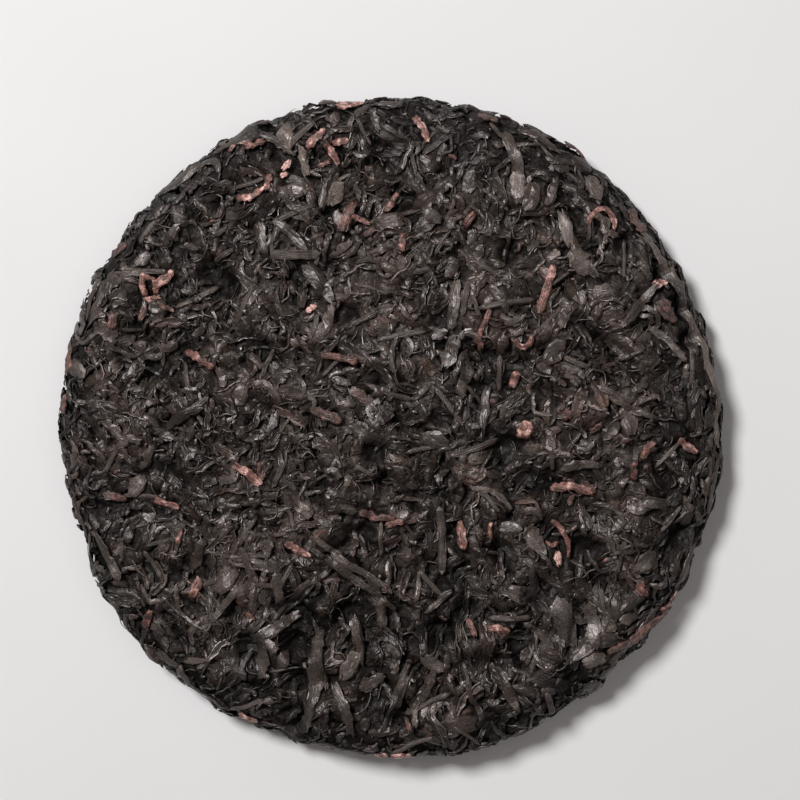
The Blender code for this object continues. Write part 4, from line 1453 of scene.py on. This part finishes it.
class TEACAKE_OT_buds(bpy.types.Operator):
    """Lays the red-brown buds that stand out, and scatters small ones"""

    bl_idname = "teacake.buds"
    bl_label = "Buds"

    def execute(self, context):
        sizes, colours = context.scene.teacake_sizes, context.scene.teacake_colours
        finish = bud_finish(colours)
        draw = random.Random(31)
        tips = variants("tip", 10, lambda builder: add_sheet(builder, tip_form(draw), draw), True)
        for name, back, seed, spacing in (
            ("small_buds_face", False, 6, sizes.tip_spacing),
            ("small_buds_back", True, 26, sizes.tip_spacing * 1.3),
        ):
            piece = scatter(name, back, tips, finish, seed, spacing, (0.5, 1.0), 0.1, (-0.4, 0.5))
            tint = np.empty(len(piece.data.vertices), dtype=np.float32)
            piece.data.attributes["tint"].data.foreach_get("value", tint)
            set_values(piece.data, "red", 0.06 + 0.6 * tint**1.8)
        clear_variants(tips)
        lay_by_hand("red_brown_buds", BUDS, finish, 37, add_noted_bud, True)
        return {"FINISHED"}


def add_stick(builder, row, draw):
    """Adds one of the face's straight sticks. Returns its vertices and how red each is."""
    x, y, heading, length, width, bend = row
    form = stalk_form(draw)
    form.update(length=length * MM, width=width * MM, height=width * 0.62 * MM,
                rings=max(8, int(length * 0.8)), sides=10,
                bend=math.radians(-bend), sway=draw.uniform(-0.08, 0.08), ends=(0.03, 0.03))
    made = add_rolled(builder, form, draw, (x * MM, y * MM, math.radians(heading)))
    return made, [0.0] * len(made), 0.5


def add_long_leaf(builder, row, draw):
    """Adds one of the face's long leaves. Returns its vertices and how red each is."""
    x, y, heading, length, width, bend, pale = row
    form = strand_form(draw)
    form.update(length=length * MM, width=width * 2.1 * MM, rows=max(9, int(length * 0.9)), columns=13,
                bend=math.radians(-bend), sway=draw.uniform(-1, 1) * min(0.25, 2.5 / length),
                twist=draw.uniform(-0.9, 0.9),
                roll=-draw.uniform(1.5, 2.2), fold=draw.uniform(0.6, 1.1), folds=draw.uniform(2.2, 3.6),
                crumple=(0.15 if width < 3.5 else 0.26) * MM, arch=0.0, squash=0.85, uneven=0.22,
                tip=0.1 if width > 3.5 else 0.25, ends=(draw.uniform(0.12, 0.35), draw.uniform(0.25, 0.55)))
    made = add_sheet(builder, form, draw, (x * MM, y * MM, math.radians(heading)))
    return made, [0.0] * len(made), 0.80 + 0.085 * pale if pale > 0.5 else 0.1 + 0.6 * pale


def add_rim_leaf(builder, row, draw):
    """Adds one leaf that follows the rim. Returns its vertices and how red each is."""
    angle, away, length, width, pale = row
    turn = math.radians(angle)
    heading = math.degrees(turn) + 90 + draw.uniform(-3, 3)
    bend = -math.degrees(length / away) * draw.uniform(0.8, 1.1)
    place = (away * math.cos(turn), away * math.sin(turn), heading)
    return add_long_leaf(builder, (*place, length, width, bend, pale), draw)


def add_noted_bud(builder, row, draw):
    """Adds one of the face's buds. Returns its vertices and how red each is, brightest at the tip."""
    x, y, heading, length, width, bend, red = row
    form = tip_form(draw)
    form.update(length=length * MM, width=width * 1.7 * MM, rows=max(8, int(1.1 * length) + 3), columns=10,
                lean=draw.uniform(-0.3, 0.3), bend=math.radians(-bend), sway=draw.uniform(-0.4, 0.4),
                crumple=draw.uniform(0.10, 0.17) * MM, uneven=0.28,
                ends=(draw.uniform(0.06, 0.2), draw.uniform(0.15, 0.5)))
    made = add_sheet(builder, form, draw, (x * MM, y * MM, math.radians(heading)))
    sheet = form["rows"] * form["columns"]
    shares = [index % sheet // form["columns"] / (form["rows"] - 1) for index in range(len(made))]
    return made, [red * (0.56 + 0.5 * share) for share in shares], 0.8 * draw.random()


def lay_by_hand(name, rows, finish, seed, add, smooth=False):
    """Makes the pieces of a list, each at its own place on the face, as one mesh."""
    draw = random.Random(seed)
    builder = bmesh.new()
    reds, tints = [], []
    for row in rows:
        made, redness, tint = add(builder, row, draw)
        for vertex in made:
            vertex.co.z += NOTED_LIFT
        reds += redness
        tints += [tint] * len(made)
    bmesh.ops.recalc_face_normals(builder, faces=builder.faces)
    for face in builder.faces:
        face.smooth = smooth
    mesh = bpy.data.meshes.new(name)
    builder.to_mesh(mesh)
    builder.free()
    flat = vertex_array(mesh)
    # rise: the height above the bed less the painted shade, which the finish turns into painted light and
    # shade
    set_values(mesh, "rise", flat[:, 2] / MM - shade(flat, False))
    set_values(mesh, "red", np.array(reds))
    set_values(mesh, "tint", np.array(tints))
    set_vertices(mesh, SKIN.drape(flat, False))
    mesh.materials.append(finish)
    piece = new_piece(name, mesh)
    hand_over(piece)
    return piece


class TEACAKE_OT_stage(bpy.types.Operator):
    """Sets the pale floor, the soft lights and the camera that looks down on the cake"""

    bl_idname = "teacake.stage"
    bl_label = "Floor, lights and camera"

    aim = Vector((0.0045, 0.0098, 0.0190))
    lit_point = Vector((0, 0, 0.01))
    key_place, key_size = Vector((-0.52, 0.66, 1.27)), 0.42
    fill_place, fill_size = Vector((0.35, 0.10, 0.95)), 0.70
    room_colour, room_strength = (1.0, 0.82, 0.74, 1.0), 0.19

    def execute(self, context):
        stage = context.scene.teacake_stage
        self.add_floor(stage)
        self.add_lights(stage)
        self.add_camera(stage)
        self.set_tone(context.scene)
        return {"FINISHED"}

    def add_floor(self, stage):
        """A round floor that sweeps up into a wall a long way off."""
        turns = np.linspace(0, math.pi / 2, SWEEP_STEPS)
        profile = [(0.0, 0.0)] + [
            (FLOOR_RADIUS + SWEEP_RADIUS * math.sin(turn), SWEEP_RADIUS * (1 - math.cos(turn)))
            for turn in turns
        ]
        builder = bmesh.new()
        line = [builder.verts.new((radius, 0, height)) for radius, height in profile]
        edges = [builder.edges.new(pair) for pair in zip(line, line[1:])]
        bmesh.ops.spin(builder, geom=line + edges, cent=(0, 0, 0), axis=(0, 0, 1), angle=math.tau,
                       steps=FLOOR_SIDES, use_merge=True)
        bmesh.ops.remove_doubles(builder, verts=builder.verts, dist=0.0001)
        bmesh.ops.recalc_face_normals(builder, faces=builder.faces)
        for face in builder.faces:
            face.smooth = True
            if face.normal.z < -0.5 or face.normal.dot(face.calc_center_median()) > 0.1:
                face.normal_flip()
        mesh = bpy.data.meshes.new("floor")
        builder.to_mesh(mesh)
        builder.free()
        mesh.materials.append(floor_finish(stage.floor_colour))
        new_piece("floor", mesh)

    def add_light(self, name, place, size, power, colour):
        """A round soft lamp that points at the cake."""
        data = bpy.data.lights.new(name, "AREA")
        data.shape, data.size, data.energy, data.color = "DISK", size, power, colour
        lamp = bpy.data.objects.new(name, data)
        bpy.context.scene.collection.objects.link(lamp)
        lamp.location = place
        lamp.rotation_euler = (self.lit_point - lamp.location).to_track_quat("-Z", "Y").to_euler()

    def add_lights(self, stage):
        self.add_light("key", self.key_place, self.key_size, stage.key_power, stage.light_colour)
        self.add_light("fill", self.fill_place, self.fill_size, stage.fill_power, stage.light_colour)
        world = bpy.data.worlds.new("soft_room")
        world.use_nodes = True
        room = world.node_tree.nodes["Background"].inputs
        room["Color"].default_value = self.room_colour
        room["Strength"].default_value = self.room_strength
        bpy.context.scene.world = world

    def add_camera(self, stage):
        data = bpy.data.cameras.new("camera")
        data.lens, data.sensor_width = stage.lens, 36.0
        data.clip_start, data.clip_end = 0.05, 20.0
        camera = bpy.data.objects.new("camera", data)
        bpy.context.scene.collection.objects.link(camera)
        away = Vector((math.tan(stage.lean_right), math.tan(stage.lean_up), 1.0)).normalized()
        camera.location = self.aim + away * stage.distance
        forward = -away
        right = forward.cross(Vector((0, 1, 0))).normalized()
        up = right.cross(forward)
        camera.matrix_world = Matrix((
            (right.x, up.x, away.x, camera.location.x), (right.y, up.y, away.y, camera.location.y),
            (right.z, up.z, away.z, camera.location.z), (0, 0, 0, 1),
        ))
        bpy.context.scene.camera = camera

    def set_tone(self, scene):
        scene.view_settings.view_transform = "Standard"
        scene.view_settings.look = "None"
        scene.view_settings.exposure = 0.0


class TEACAKE_PT_panel(bpy.types.Panel):
    """Lists the cake's pieces and their sizes"""

    bl_label = "Tea cake"
    bl_idname = "TEACAKE_PT_panel"
    bl_space_type = "VIEW_3D"
    bl_region_type = "UI"
    bl_category = "Tea cake"

    def draw(self, context):
        layout = self.layout
        for group in ("teacake_sizes", "teacake_colours", "teacake_stage"):
            box = layout.box()
            settings = getattr(context.scene, group)
            for name in settings.bl_rna.properties.keys():
                if name not in ("rna_type", "name"):
                    box.prop(settings, name)
        for operator in OPERATORS:
            layout.operator(operator.bl_idname)


OPERATORS = (
    TEACAKE_OT_stage, TEACAKE_OT_core, TEACAKE_OT_leaves, TEACAKE_OT_threads, TEACAKE_OT_crumbs,
    TEACAKE_OT_stalks, TEACAKE_OT_buds,
)
CLASSES = (TeaCakeSizes, TeaCakeColours, TeaCakeStage, *OPERATORS, TEACAKE_PT_panel)


def register():
    for item in CLASSES:
        bpy.utils.register_class(item)
    bpy.types.Scene.teacake_sizes = PointerProperty(type=TeaCakeSizes)
    bpy.types.Scene.teacake_colours = PointerProperty(type=TeaCakeColours)
    bpy.types.Scene.teacake_stage = PointerProperty(type=TeaCakeStage)


def unregister():
    del bpy.types.Scene.teacake_stage
    del bpy.types.Scene.teacake_colours
    del bpy.types.Scene.teacake_sizes
    for item in reversed(CLASSES):
        bpy.utils.unregister_class(item)


def main():
    """Makes every piece."""
    register()
    bpy.ops.teacake.stage()
    bpy.ops.teacake.core()
    bpy.ops.teacake.leaves()
    bpy.ops.teacake.threads()
    bpy.ops.teacake.crumbs()
    bpy.ops.teacake.stalks()
    bpy.ops.teacake.buds()


if __name__ == "__main__":
    main()
